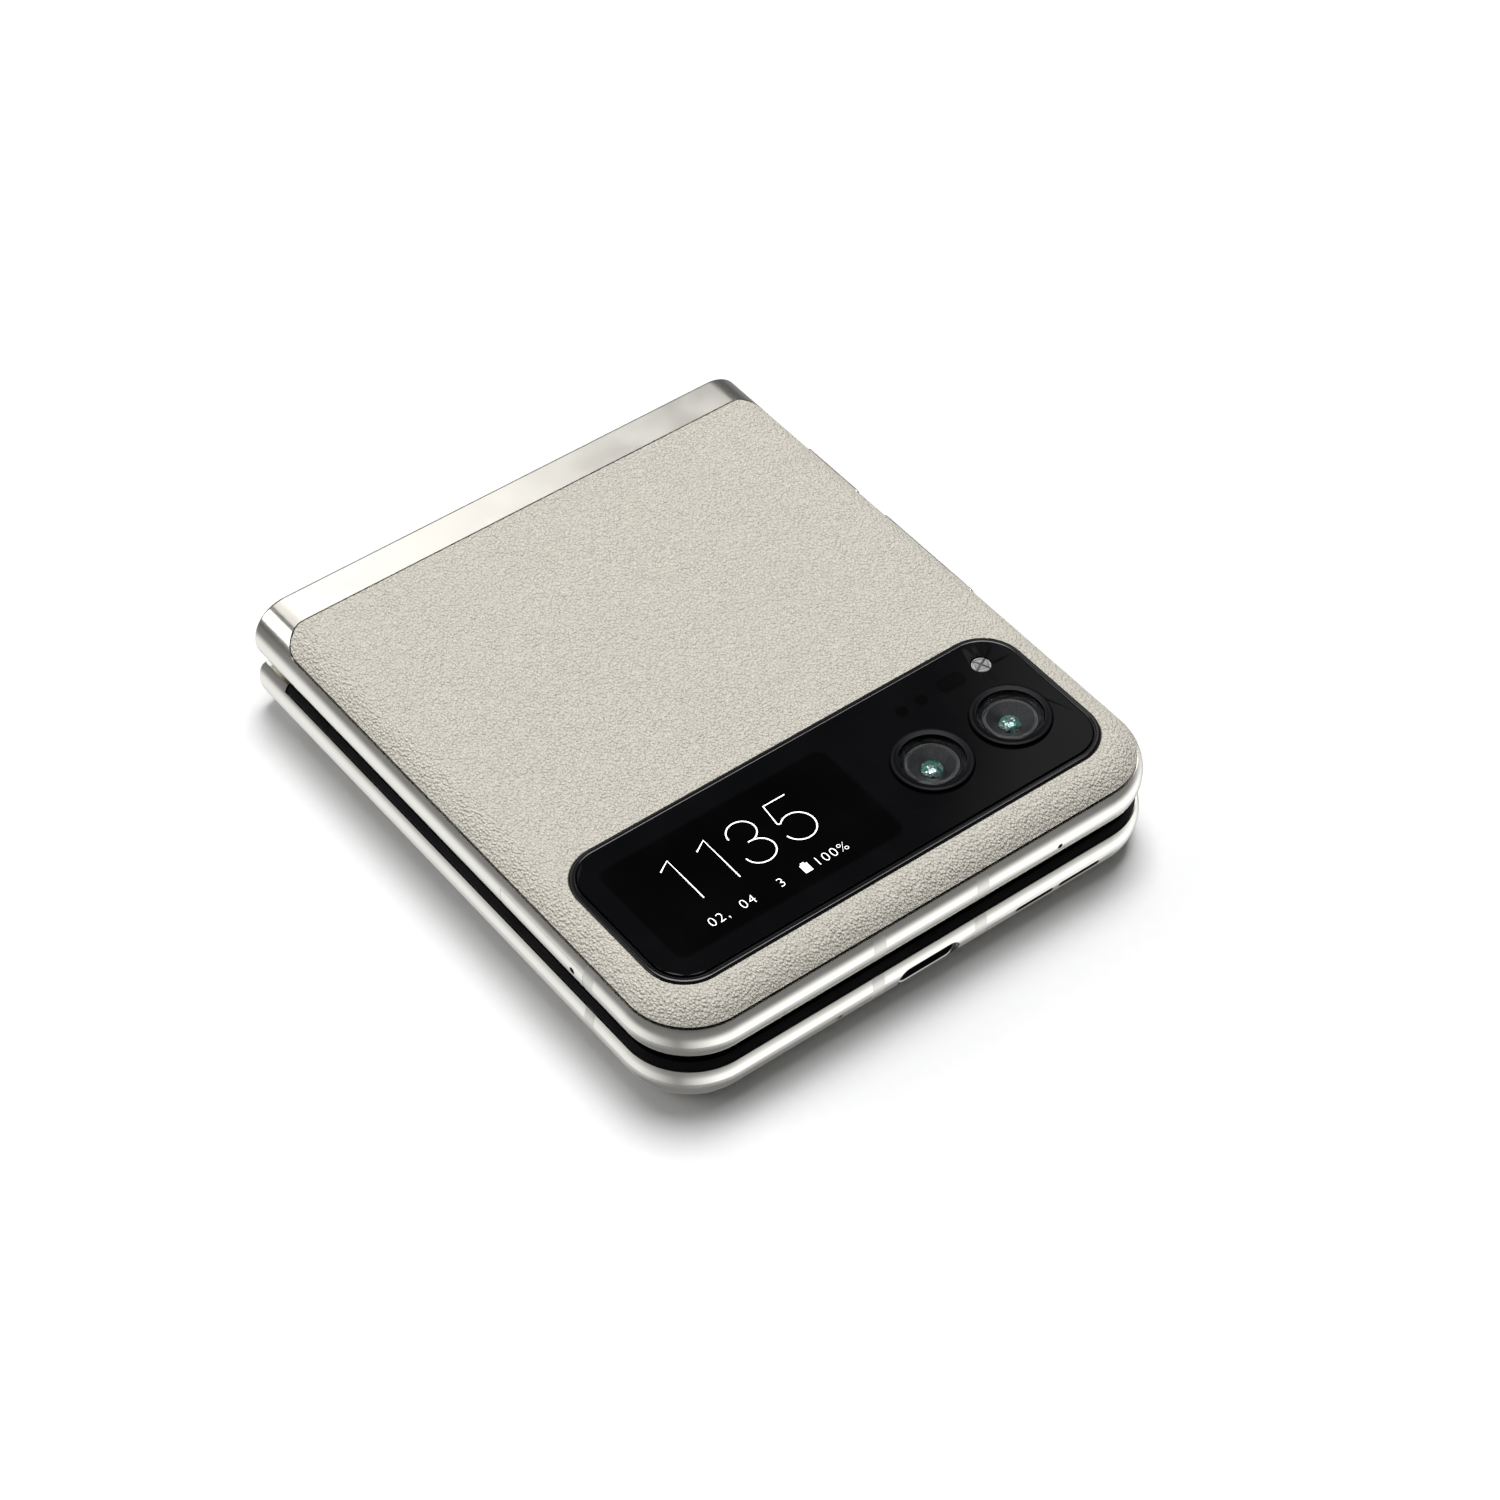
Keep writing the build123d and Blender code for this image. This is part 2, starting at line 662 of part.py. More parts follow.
with BuildPart() as charging_coil:
    with BuildSketch(Plane.XY.offset(pocket_depth)):
        with Locations((0, (battery_front + battery_end) / 2)):
            Circle((battery_end - battery_front) / 2 - coil_border)
            Circle(coil_inner, mode=Mode.SUBTRACT)
    extrude(amount=coil_thickness)
export_piece(charging_coil, "charging_coil")

sub_board_low = mid_plate_low - 3 * fit_gap - board_thickness
with BuildPart() as sub_board:
    block(-board_half, board_half, bay_front + 0.6, board_end,
          sub_board_low, sub_board_low + board_thickness, corner_radius - rail_wall - 0.6)
    block(-usb_width / 2 - 0.4, usb_width / 2 + 0.4, front_y, front_y + usb_depth + 0.9 + 0.4,
          sub_board_low - 1, mid_plate_low, mode=Mode.SUBTRACT)
export_piece(sub_board, "sub_board")

usb_front = front_y + 0.9
with BuildPart() as usb_shell:
    edge_slot(0, usb_centre, usb_width, usb_height, usb_front, usb_front + usb_depth, mode=Mode.ADD)
    edge_slot(0, usb_centre, usb_width - 2 * usb_wall, usb_height - 2 * usb_wall,
              usb_front - 1, usb_front + usb_depth - 1.2)
export_piece(usb_shell, "usb_shell")

with BuildPart() as usb_tongue:
    with BuildSketch(Plane.XZ.offset(-(usb_front + usb_depth - 1.2))):
        with Locations((0, usb_centre)):
            RectangleRounded(usb_tongue_width, usb_tongue_height, 0.2)
    extrude(amount=4.6)
export_piece(usb_tongue, "usb_tongue")

with BuildPart() as loudspeaker:
    speaker_x = (slot_places[0][0] + slot_places[1][0]) / 2
    block(speaker_x - speaker_width / 2, speaker_x + speaker_width / 2, bay_front + 0.3,
          bay_front + 0.3 + speaker_length, sub_board_low - 0.1 - speaker_thickness, sub_board_low - 0.1, 1.5)
export_piece(loudspeaker, "loudspeaker")

with BuildPart() as lower_microphone:
    mic_low = sub_board_low - mic_size[2] - fit_gap
    block(lower_mic[0] - mic_size[0] / 2, lower_mic[0] + mic_size[0] / 2, bay_front + 0.2,
          bay_front + 0.2 + mic_size[1], mic_low, mic_low + mic_size[2], 0.3)
export_piece(lower_microphone, "lower_microphone")

with BuildPart() as vibration_motor:
    motor_top = sub_board_low - fit_gap
    post(motor_place[0] - width / 2, front_y + motor_place[1], motor_radius, motor_top - motor_thickness, motor_top)
    fillet(vibration_motor.edges(), 0.3)
export_piece(vibration_motor, "vibration_motor")

# ---- Upper half: metal, covers and display ----
rail_x = width / 2 - rail_wall
front_camera_y = front_y + front_camera_inset
with BuildPart() as upper_frame:
    add(upper_blank)
    add(antenna_breaks(), mode=Mode.SUBTRACT)
    edge_slot(upper_mic[0], upper_mic[1], 0, 2 * mic_hole, front_y - 1, wall_in)
    bracket_seats(upper_plate_start, upper_plate_end, upper_screws)
    flex_passage()
    for key_y, key_length in ((rocker_y, rocker_length), (power_y, power_length)):
        half = key_length / 2 + key_gap
        tall = key_height / 2 + key_gap
        block(rail_x - key_gap, width, key_y - half, key_y + half, key_depth - tall, mid_plate_low,
              mode=Mode.SUBTRACT)
        block(rail_x, width, key_y - half, key_y + half, key_depth - tall, key_depth + tall, mode=Mode.SUBTRACT)
    tray_half = tray_length / 2
    block(-width, -width / 2 + tray_face + fit_gap, tray_y - tray_half - fit_gap, tray_y + tray_half + fit_gap,
          tray_depth - tray_height / 2 - fit_gap, tray_depth + tray_height / 2 + fit_gap, mode=Mode.SUBTRACT)
    blade_half = blade_width / 2
    block(-width, -rail_x + 1, tray_y - blade_half + 1.2 - key_gap, tray_y + blade_half + 1.2 + key_gap,
          blade_low - key_gap, mid_plate_low, mode=Mode.SUBTRACT)
    with BuildSketch(Plane.YZ.offset(-width)) as ejector:
        with Locations((eject_y, tray_depth)):
            Circle(eject_hole)
    extrude(ejector.sketch, amount=width / 2 + 3, mode=Mode.SUBTRACT)
    post(0, front_camera_y, front_camera_radius + window_gap, 0, half_thickness, mode=Mode.SUBTRACT)
    block(-earpiece_size[0] / 2 + 1, earpiece_size[0] / 2 - 1, bay_front + 0.2, bay_front + 0.2 + earpiece_slit,
          0, half_thickness, mode=Mode.SUBTRACT)
    flip()
export_piece(upper_frame, "upper_frame")

with BuildPart() as upper_antenna_bands:
    add(upper_blank)
    add(antenna_breaks(), mode=Mode.INTERSECT)
    flip()
export_piece(upper_antenna_bands, "upper_antenna_bands")


def glass_outline(grow, corner):
    """Outline of the cover glass, grown all round."""
    with Locations((0, glass_y)):
        RectangleRounded(glass_width + 2 * grow, glass_length + 2 * grow, corner + grow)


with BuildPart() as upper_leather:
    leather_skin(upper_border)
    with BuildSketch():
        glass_outline(2 * fit_gap, glass_corner)
    extrude(amount=edge_round, mode=Mode.SUBTRACT)
    flip()
export_piece(upper_leather, "upper_leather")

window_low_y = glass_front_y + display_window_front
window_high_y = window_low_y + display_window_length
flash_x = glass_right - flash_place[0]
flash_y = glass_back_y - flash_place[1]
laser_x = glass_right - laser_place[0]
laser_y = glass_back_y - laser_place[1]
sensors = [(glass_right - inset, glass_back_y - down) for inset, down in sensor_places]
shell_low = cover_depth
shell_high = cover_depth + cover_thickness
with BuildPart() as upper_back_shell:
    cover_shell(upper_border)
    block(-display_window_left - window_gap, display_window_right + window_gap, window_low_y - window_gap,
          window_high_y + window_gap, 0, edge_round, 2.0, mode=Mode.SUBTRACT)
    for lens_x, _ in lens_places:
        post(lens_x, lens_y, lens_ring_radius + window_gap, 0, edge_round, mode=Mode.SUBTRACT)
    post(flash_x, flash_y, flash_radius + window_gap, 0, edge_round, mode=Mode.SUBTRACT)
    for sensor_x, sensor_y in sensors:
        post(sensor_x, sensor_y, sensor_radius + window_gap, 0, edge_round, mode=Mode.SUBTRACT)
    block(laser_x - laser_size[0] / 2 - window_gap, laser_x + laser_size[0] / 2 + window_gap,
          laser_y - laser_size[1] / 2 - window_gap, laser_y + laser_size[1] / 2 + window_gap,
          0, edge_round, 1.0, mode=Mode.SUBTRACT)
    flip()
export_piece(upper_back_shell, "upper_back_shell")

with BuildPart() as upper_bezel:
    display_bezel()
    block(-earpiece_size[0] / 2 + 1, earpiece_size[0] / 2 - 1, bay_front + 0.2, bay_front + 0.2 + earpiece_slit,
          0, half_thickness + 1, mode=Mode.SUBTRACT)
    flip()
export_piece(upper_bezel, "upper_bezel")

with BuildPart() as display_upper:
    sheet_on_half(display_depth, display_thickness)
    post(0, front_camera_y, front_camera_hole, 0, half_thickness, mode=Mode.SUBTRACT)
    flip()
export_piece(display_upper, "display_upper")

with BuildPart() as display_plate_upper:
    sheet_on_half(display_plate_low, display_plate_thickness)
    post(0, front_camera_y, front_camera_radius + window_gap, 0, half_thickness, mode=Mode.SUBTRACT)
    flip()
export_piece(display_plate_upper, "display_plate_upper")

# ---- Upper half: cover glass, cameras and lights ----
with BuildPart() as cover_glass:
    with BuildSketch(Plane.XY.offset(glass_low)):
        glass_outline(0, glass_corner)
        with Locations(*lens_places):
            Circle(lens_ring_radius + fit_gap, mode=Mode.SUBTRACT)
    extrude(amount=glass_thickness)
    face_edges = cover_glass.faces().sort_by(Axis.Z)[0].outer_wire().edges()
    fillet(face_edges, glass_edge)
    flip()
export_piece(cover_glass, "cover_glass")

with BuildPart() as cover_display:
    block(-display_window_left, display_window_right, window_low_y, window_high_y,
          glass_low + glass_thickness + fit_gap, glass_low + glass_thickness + fit_gap + cover_display_thickness, 2.0)
    flip()
export_piece(cover_display, "cover_display")

window_low = ring_low + lens_window_drop
ring_high = shell_high + fit_gap
with BuildPart() as lens_rings:
    with BuildSketch(Plane.XY.offset(ring_low)):
        with Locations(*lens_places):
            Circle(lens_ring_radius)
            Circle(lens_ring_radius - lens_ring_wall, mode=Mode.SUBTRACT)
    extrude(amount=ring_high - ring_low)
    with BuildSketch(Plane.XY.offset(window_low + lens_window_thickness)):
        with Locations(*lens_places):
            Circle(lens_ring_radius)
            Circle(barrel_radius + window_gap, mode=Mode.SUBTRACT)
    extrude(amount=ring_high - window_low - lens_window_thickness)
    fillet(lens_rings.faces().group_by(Axis.Z)[0].edges(), 0.18)
    flip()
export_piece(lens_rings, "lens_rings")

with BuildPart() as lens_windows:
    with BuildSketch(Plane.XY.offset(window_low)):
        with Locations(*lens_places):
            Circle(lens_ring_radius - lens_ring_wall - fit_gap)
    extrude(amount=lens_window_thickness)
    flip()
export_piece(lens_windows, "lens_windows")


def camera(lens_x):
    """One camera module: sensor housing and lens barrel with its conical front."""
    body_low = ring_high + fit_gap
    barrel_low = window_low + lens_window_thickness + window_gap
    half = camera_body / 2
    block(lens_x - half, lens_x + half, lens_y - half, lens_y + half, body_low, body_low + camera_body_depth, 1.0)
    post(lens_x, lens_y, barrel_radius, barrel_low, body_low)
    with BuildSketch(Plane.XY.offset(barrel_low)) as mouth:
        with Locations((lens_x, lens_y)):
            Circle(barrel_front)
    with BuildSketch(Plane.XY.offset(barrel_low + barrel_cone)) as throat:
        with Locations((lens_x, lens_y)):
            Circle(barrel_core)
    loft([mouth.sketch, throat.sketch], mode=Mode.SUBTRACT)
    post(lens_x, lens_y, barrel_core, barrel_low, barrel_low + barrel_cone + 0.5, mode=Mode.SUBTRACT)
    flip()


with BuildPart() as camera_main:
    camera(lens_places[0][0])
export_piece(camera_main, "camera_main")

with BuildPart() as camera_wide:
    camera(lens_places[1][0])
export_piece(camera_wide, "camera_wide")

with BuildPart() as camera_lenses:
    lens_seat = window_low + lens_window_thickness + window_gap + barrel_cone + 0.5
    for lens_x, _ in lens_places:
        post(lens_x, lens_y, barrel_core - fit_gap, lens_seat - 0.4, lens_seat)
    fillet(camera_lenses.faces().group_by(Axis.Z)[0].edges(), 0.3)
    flip()
export_piece(camera_lenses, "camera_lenses")

with BuildPart() as flash_led:
    post(flash_x, flash_y, flash_radius, shell_low, shell_low + 1.0)
    flip()
export_piece(flash_led, "flash_led")

with BuildPart() as sensor_windows:
    for sensor_x, sensor_y in sensors:
        post(sensor_x, sensor_y, sensor_radius, shell_low, shell_low + 0.9)
    block(laser_x - laser_size[0] / 2, laser_x + laser_size[0] / 2, laser_y - laser_size[1] / 2,
          laser_y + laser_size[1] / 2, shell_low, shell_low + 0.9, 0.9)
    flip()
export_piece(sensor_windows, "sensor_windows")

# ---- Upper half: what it holds ----
main_board_end = bay_front + main_board_reach
with BuildPart() as battery_upper:
    block(-battery_half, battery_half, main_board_end + board_gap, battery_end,
          battery_low, battery_low + battery_thickness, battery_corner)
    fillet(battery_upper.edges().filter_by(GeomType.LINE).filter_by(Axis.Z, reverse=True), 0.4)
    flip()
export_piece(battery_upper, "battery_upper")

with BuildPart() as main_board:
    block(-board_half, board_half, bay_front + 0.6, main_board_end,
          board_low, board_low + board_thickness, corner_radius - rail_wall - 0.6)
    half = camera_body / 2 + 0.4
    block(lens_places[0][0] - half, lens_places[1][0] + half, lens_y - half, lens_y + half,
          0, half_thickness, 1.0, mode=Mode.SUBTRACT)
    flip()
export_piece(main_board, "main_board")

with BuildPart() as shield_cans:
    can_top = board_low - fit_gap / 2
    y_low = bay_front + can_front
    for number, can_length in enumerate(can_lengths):
        x_low = -battery_half + number * (can_width + can_gap)
        x_high = x_low + can_width
        y_high = y_low + can_length
        block(x_low, x_high, y_low, y_high, can_top - can_height, can_top, 1.0)
        block(x_low + can_wall, x_high - can_wall, y_low + can_wall, y_high - can_wall,
              can_top - can_height + can_wall, can_top, 0.8, mode=Mode.SUBTRACT)
    flip()
export_piece(shield_cans, "shield_cans")

deep_low = board_low + board_thickness + fit_gap / 2
with BuildPart() as inner_shield_can:
    x_low = -width / 2 + tray_face + tray_reach + inner_can_clear
    y_low = bay_front + inner_can_front
    y_high = y_low + inner_can_length
    block(x_low, can_right, y_low, y_high, deep_low, deep_low + inner_can_height, 1.0)
    block(x_low + can_wall, can_right - can_wall, y_low + can_wall, y_high - can_wall,
          deep_low, deep_low + inner_can_height - can_wall, 0.8, mode=Mode.SUBTRACT)
    flip()
export_piece(inner_shield_can, "inner_shield_can")

with BuildPart() as earpiece:
    block(-earpiece_size[0] / 2, earpiece_size[0] / 2, bay_front + 0.1, bay_front + 0.1 + earpiece_size[1],
          deep_low, deep_low + earpiece_size[2], 0.5)
    flip()
export_piece(earpiece, "earpiece")

with BuildPart() as upper_microphone:
    block(upper_mic[0] - mic_size[0] / 2, upper_mic[0] + mic_size[0] / 2, bay_front + 0.2,
          bay_front + 0.2 + mic_size[1], deep_low, deep_low + mic_size[2], 0.3)
    flip()
export_piece(upper_microphone, "upper_microphone")

with BuildPart() as front_camera:
    post(0, front_camera_y, front_camera_radius, deep_low, display_depth - fit_gap)
    post(0, front_camera_y, front_camera_lens, display_depth - fit_gap, display_top - fit_gap)
    flip()
export_piece(front_camera, "front_camera")

# ---- Keys, their switches and the card tray ----


def side_key(key_y, key_length):
    """One side key: cap in the rail and flange behind it."""
    cap_in = rail_x + key_travel + fit_gap
    with BuildPart(mode=Mode.PRIVATE) as cap:
        with BuildSketch(Plane.YZ.offset(cap_in)):
            with Locations((key_y, key_depth)):
                RectangleRounded(key_length, key_height, 0.9)
        extrude(amount=width / 2 + key_rise - cap_in)
        fillet(cap.faces().sort_by(Axis.X)[-1].edges(), 0.25)
    add(cap.part)
    stem_low = key_depth - key_height / 2
    stem_high = mid_plate_low - key_gap
    block(rail_x - 2 * key_gap, cap_in, key_y - key_length / 2 + 1, key_y + key_length / 2 - 1, stem_low, stem_high)
    flange_half = key_length / 2 + key_flange_lap
    block(rail_x - key_gap - key_flange, rail_x - key_gap, key_y - flange_half, key_y + flange_half,
          stem_low - 0.3, stem_high)
    flip()


with BuildPart() as volume_rocker:
    side_key(rocker_y, rocker_length)
export_piece(volume_rocker, "volume_rocker")

with BuildPart() as power_key:
    side_key(power_y, power_length)
export_piece(power_key, "power_key")

switch_x = rail_x - key_gap - key_flange - key_travel - key_gap - switch_width
with BuildPart() as key_switches:
    for switch_y in (rocker_y - rocker_length / 3, rocker_y + rocker_length / 3, power_y):
        block(switch_x, switch_x + switch_width, switch_y - switch_length / 2, switch_y + switch_length / 2,
              key_depth - 1.0, mid_plate_low - 0.3)
    flip()
export_piece(key_switches, "key_switches")

with BuildPart() as key_strip:
    block(switch_x - 0.35, switch_x, rocker_y - rocker_length / 2, power_y + power_length / 2,
          key_depth - 1.3, mid_plate_low - fit_gap)
    flip()
export_piece(key_strip, "key_strip")

with BuildPart() as sim_tray:
    round_slab(0, hinge_y, half_thickness)
    block(-width, -width / 2 + tray_face, tray_y - tray_half, tray_y + tray_half,
          tray_depth - tray_height / 2, tray_depth + tray_height / 2, mode=Mode.INTERSECT)
    with BuildSketch(Plane.YZ.offset(-width)) as ejector:
        with Locations((eject_y, tray_depth)):
            Circle(eject_hole)
    extrude(ejector.sketch, amount=width, mode=Mode.SUBTRACT)
    tray_in = -width / 2 + tray_face + tray_reach
    blade_y = tray_y + 1.2
    block(-width / 2 + tray_face, tray_in, blade_y - blade_half, blade_y + blade_half,
          blade_low, blade_low + blade_thickness)
    block(tray_in - 1.2 - card_length, tray_in - 1.2, blade_y - card_width / 2, blade_y + card_width / 2,
          blade_low + 0.15, blade_low + 1, 0.5, mode=Mode.SUBTRACT)
    flip()
export_piece(sim_tray, "sim_tray")

with BuildPart() as sim_reader:
    block(-rail_x + 1.2, tray_in + 1.0, blade_y - blade_half - 0.4, blade_y + blade_half + 0.4,
          deep_low, mid_plate_low - fit_gap / 2)
    block(-rail_x, tray_in + 0.4, blade_y - blade_half - 0.15, blade_y + blade_half + 0.15,
          deep_low + 0.1, mid_plate_low + 1, mode=Mode.SUBTRACT)
    flip()
export_piece(sim_reader, "sim_reader")

# ---- Spine: cover, hinge bases, pins and the fold of the display ----
with BuildPart() as spine_cover:
    with BuildSketch(Plane.YZ) as outer_section:
        spine_section(spine_radius, axis_y + cover_edge)
    with BuildSketch(Plane.YZ) as inner_section:
        spine_section(cover_inner, axis_y)
    with BuildSketch(Plane.YZ) as fold_room:
        with Locations((axis_y, middle_z)):
            Circle(middle_z - display_depth + 7 * fit_gap)
    along_x(outer_section.sketch, -spine_half, spine_half)
    along_x(inner_section.sketch, -spine_half + spine_wall, spine_half - spine_wall, Mode.SUBTRACT)
    along_x(fold_room.sketch, -spine_half - 1, spine_half + 1, Mode.SUBTRACT)
export_piece(spine_cover, "spine_cover")

with BuildPart() as hinge_base:
    with BuildSketch(Plane.YZ) as core:
        spine_section(cover_inner - base_gap, axis_y + base_front)
    with BuildSketch(Plane.YZ) as fold_space:
        with Locations((axis_y, middle_z)):
            Circle(middle_z - display_depth + 3 * fit_gap)
    along_x(core.sketch, module_start, gear_start)
    along_x(core.sketch, gear_start + gear_bay, module_end)
    along_x(fold_space.sketch, module_start - 1, module_end + 1, Mode.SUBTRACT)
    groove_in = shoe_inner - groove_gap
    groove_out = shoe_outer + groove_gap
    for axis, bay, side in ((lower_axis, lower_bay, -1), (upper_axis, upper_bay, 1)):
        with BuildSketch(Plane.YZ) as swing:
            with Locations(axis):
                Circle(shoe_outer + 3 * fit_gap)
            with Locations((axis[0], axis[1] + side * pocket_radius / 2)):
                Rectangle(2 * (cover_edge + fit_gap), pocket_radius)
        along_x(swing.sketch, bay, bay + bay_width, Mode.SUBTRACT)
        with BuildSketch(Plane.YZ) as groove:
            with Locations(axis):
                Circle(groove_out)
                Circle(groove_in, mode=Mode.SUBTRACT)
        along_x(groove.sketch, bay - rib_width, bay + bay_width + rib_width, Mode.SUBTRACT)
    with BuildSketch(Plane.YZ) as pin_holes:
        for number in range(4):
            with Locations((pinion_y, first_pinion_z + number * 2 * pinion_pitch)):
                Circle(pin_radius + pin_gap / 3)
    along_x(pin_holes.sketch, gear_start - cheek_width + 0.4, module_end, Mode.SUBTRACT)
    both_sides()
export_piece(hinge_base, "hinge_base")

with BuildPart() as gear_pins:
    with BuildSketch(Plane.YZ) as pin_ends:
        for number in range(4):
            with Locations((pinion_y, first_pinion_z + number * 2 * pinion_pitch)):
                Circle(pin_radius)
    along_x(pin_ends.sketch, gear_start - cheek_width + 0.4 + fit_gap, module_end)
    both_sides()
export_piece(gear_pins, "gear_pins")

with BuildPart() as display_fold:
    with BuildSketch(Plane.YZ) as fold:
        arc_band((axis_y, middle_z), middle_z - display_top, middle_z - display_depth, -90, 90)
    along_x(fold.sketch, -display_half_width, display_half_width)
export_piece(display_fold, "display_fold")

flex_depth = mid_plate_top - 0.3
with BuildPart() as flex_fold:
    with BuildSketch(Plane.YZ) as fold:
        arc_band((axis_y, middle_z), middle_z - flex_depth, middle_z - flex_depth + flex_thickness, -90, 90)
    along_x(fold.sketch, -flex_half_width, flex_half_width)
export_piece(flex_fold, "flex_fold")

with BuildPart() as flex_lower:
    block(-flex_half_width, flex_half_width, beam_y - flex_tail + 0.3, axis_y - fit_gap / 2,
          flex_depth - flex_thickness, flex_depth)
export_piece(flex_lower, "flex_lower")

with BuildPart() as flex_upper:
    block(-flex_half_width, flex_half_width, beam_y - flex_tail + 0.3, axis_y - fit_gap / 2,
          flex_depth - flex_thickness, flex_depth)
    flip()
export_piece(flex_upper, "flex_upper")

# ---- Brackets, screws and the synchronising pinions ----
# Each half's gear sector turns its own outer pinion; the inner pinions keep out of that sector's slot.
mesh_direction = degrees(atan2(first_pinion_z - axis_z, pinion_y - axis_y))
phases = [mesh_phase(mesh_direction, sector_teeth, mesh_direction, pinion_teeth)]
for _ in range(3):
    phases.append(mesh_phase(phases[-1], pinion_teeth, 90, pinion_teeth))
upper_direction = -mesh_direction
upper_phase = mesh_phase(phases[-1], pinion_teeth, 180 + upper_direction, sector_teeth)

with BuildPart() as lower_brackets:
    hinge_bracket(lower_bay, gear_low, lower_plate_start, lower_plate_end, lower_screws,
                  mesh_direction)
    both_sides()
export_piece(lower_brackets, "lower_brackets")

with BuildPart() as upper_brackets:
    hinge_bracket(upper_bay, upper_plate_end - sector_width, upper_plate_start, upper_plate_end,
                  upper_screws, -upper_phase)
    both_sides()
    flip()
export_piece(upper_brackets, "upper_brackets")

with BuildPart() as lower_bracket_screws:
    bracket_screws(lower_screws)
export_piece(lower_bracket_screws, "lower_bracket_screws")

with BuildPart() as upper_bracket_screws:
    bracket_screws(upper_screws)
    flip()
export_piece(upper_bracket_screws, "upper_bracket_screws")

with BuildPart() as lower_outer_pinions:
    pinion(0, phases[0], 0, 2)
export_piece(lower_outer_pinions, "lower_outer_pinions")

with BuildPart() as lower_inner_pinions:
    pinion(1, phases[1], 1, 2)
export_piece(lower_inner_pinions, "lower_inner_pinions")

with BuildPart() as upper_inner_pinions:
    pinion(2, phases[2], 0, 1)
export_piece(upper_inner_pinions, "upper_inner_pinions")

with BuildPart() as upper_outer_pinions:
    pinion(3, phases[3], 0, 2)
export_piece(upper_outer_pinions, "upper_outer_pinions")
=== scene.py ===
"""Dresses the flip phone: leather skins, satin metal, the cover glass with its cameras, and the folding display.

Lengths in the classes are millimetres, because that is how a phone is drawn, and `mm` and `mm3` make them metres.
Only the studio's floor and lights, and the camera's near and far ends, are in metres.
"""

from __future__ import annotations

import json
import logging
import math
from dataclasses import dataclass
from enum import Enum
from typing import Callable, Iterable, Sequence

import bmesh
import bpy
from mathutils import Euler, Matrix, Vector

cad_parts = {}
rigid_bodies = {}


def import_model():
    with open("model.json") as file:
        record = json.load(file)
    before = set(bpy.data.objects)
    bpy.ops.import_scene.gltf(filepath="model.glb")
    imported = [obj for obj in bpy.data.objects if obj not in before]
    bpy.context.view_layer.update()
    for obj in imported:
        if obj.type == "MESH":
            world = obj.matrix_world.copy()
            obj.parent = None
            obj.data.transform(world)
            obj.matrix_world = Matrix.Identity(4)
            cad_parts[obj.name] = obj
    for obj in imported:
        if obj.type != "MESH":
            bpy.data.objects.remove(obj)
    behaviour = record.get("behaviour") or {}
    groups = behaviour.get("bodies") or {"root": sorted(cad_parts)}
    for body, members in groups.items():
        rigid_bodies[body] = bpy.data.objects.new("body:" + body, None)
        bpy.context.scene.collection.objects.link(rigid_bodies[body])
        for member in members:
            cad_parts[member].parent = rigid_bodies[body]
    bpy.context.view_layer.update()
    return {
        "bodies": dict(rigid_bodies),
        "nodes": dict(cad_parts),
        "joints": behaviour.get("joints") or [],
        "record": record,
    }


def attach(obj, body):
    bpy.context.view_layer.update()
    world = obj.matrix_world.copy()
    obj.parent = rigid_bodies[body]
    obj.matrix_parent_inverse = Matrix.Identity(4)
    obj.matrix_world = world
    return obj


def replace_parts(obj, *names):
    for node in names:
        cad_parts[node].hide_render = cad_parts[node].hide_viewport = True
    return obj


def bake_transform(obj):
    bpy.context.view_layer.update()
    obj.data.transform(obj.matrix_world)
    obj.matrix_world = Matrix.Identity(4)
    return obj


LOG = logging.getLogger("flip_phone")

Point = tuple[float, float]
Triple = tuple[float, float, float]
Colour = tuple[float, float, float]
Test = Callable[[Vector, Vector], bool]
Socket = bpy.types.NodeSocket
Material = bpy.types.Material

MILLIMETRE = 0.001
METRE = 1000.0  # In millimetres.
UPRIGHT = (0.0, 0.0, 1.0)
RING_SCALE = 0.05 * math.tau  # The wave pattern's scale at which its rings are one unit apart.

BODY_HEIGHT = 15.8  # Both halves, closed, without the raised glass.
LENS_X = (12.66, 24.61)
LENS_Y = -28.37
FLASH_X = 27.45
FLASH_Y = -19.54
FLASH_TURN = 25.0  # Degrees between the dark cross of the flash and the sides of the phone.


def mm(value: float) -> float:
    """Turns millimetres into metres."""
    return value * MILLIMETRE


def mm3(x: float, y: float, z: float) -> Vector:
    """Turns a place in millimetres into metres."""
    return Vector((x, y, z)) * MILLIMETRE


def anywhere(_place: Vector, _way: Vector) -> bool:
    """Picks an element wherever it is."""
    return True


class Body(Enum):
    """The bodies that the dressed pieces ride on."""

    LOWER = "lower_half"
    UPPER = "upper_half"
    SPINE = "spine"


class Part(Enum):
    """What an edit-mode selection picks."""

    VERTS = "VERT"
    EDGES = "EDGE"
    FACES = "FACE"


class Cells(Enum):
    """What a cell pattern measures."""

    CENTRES = "F1"
    RIMS = "DISTANCE_TO_EDGE"


# ---------------------------------------------------------------------------------------------------------------
# Modelling bench
# ---------------------------------------------------------------------------------------------------------------


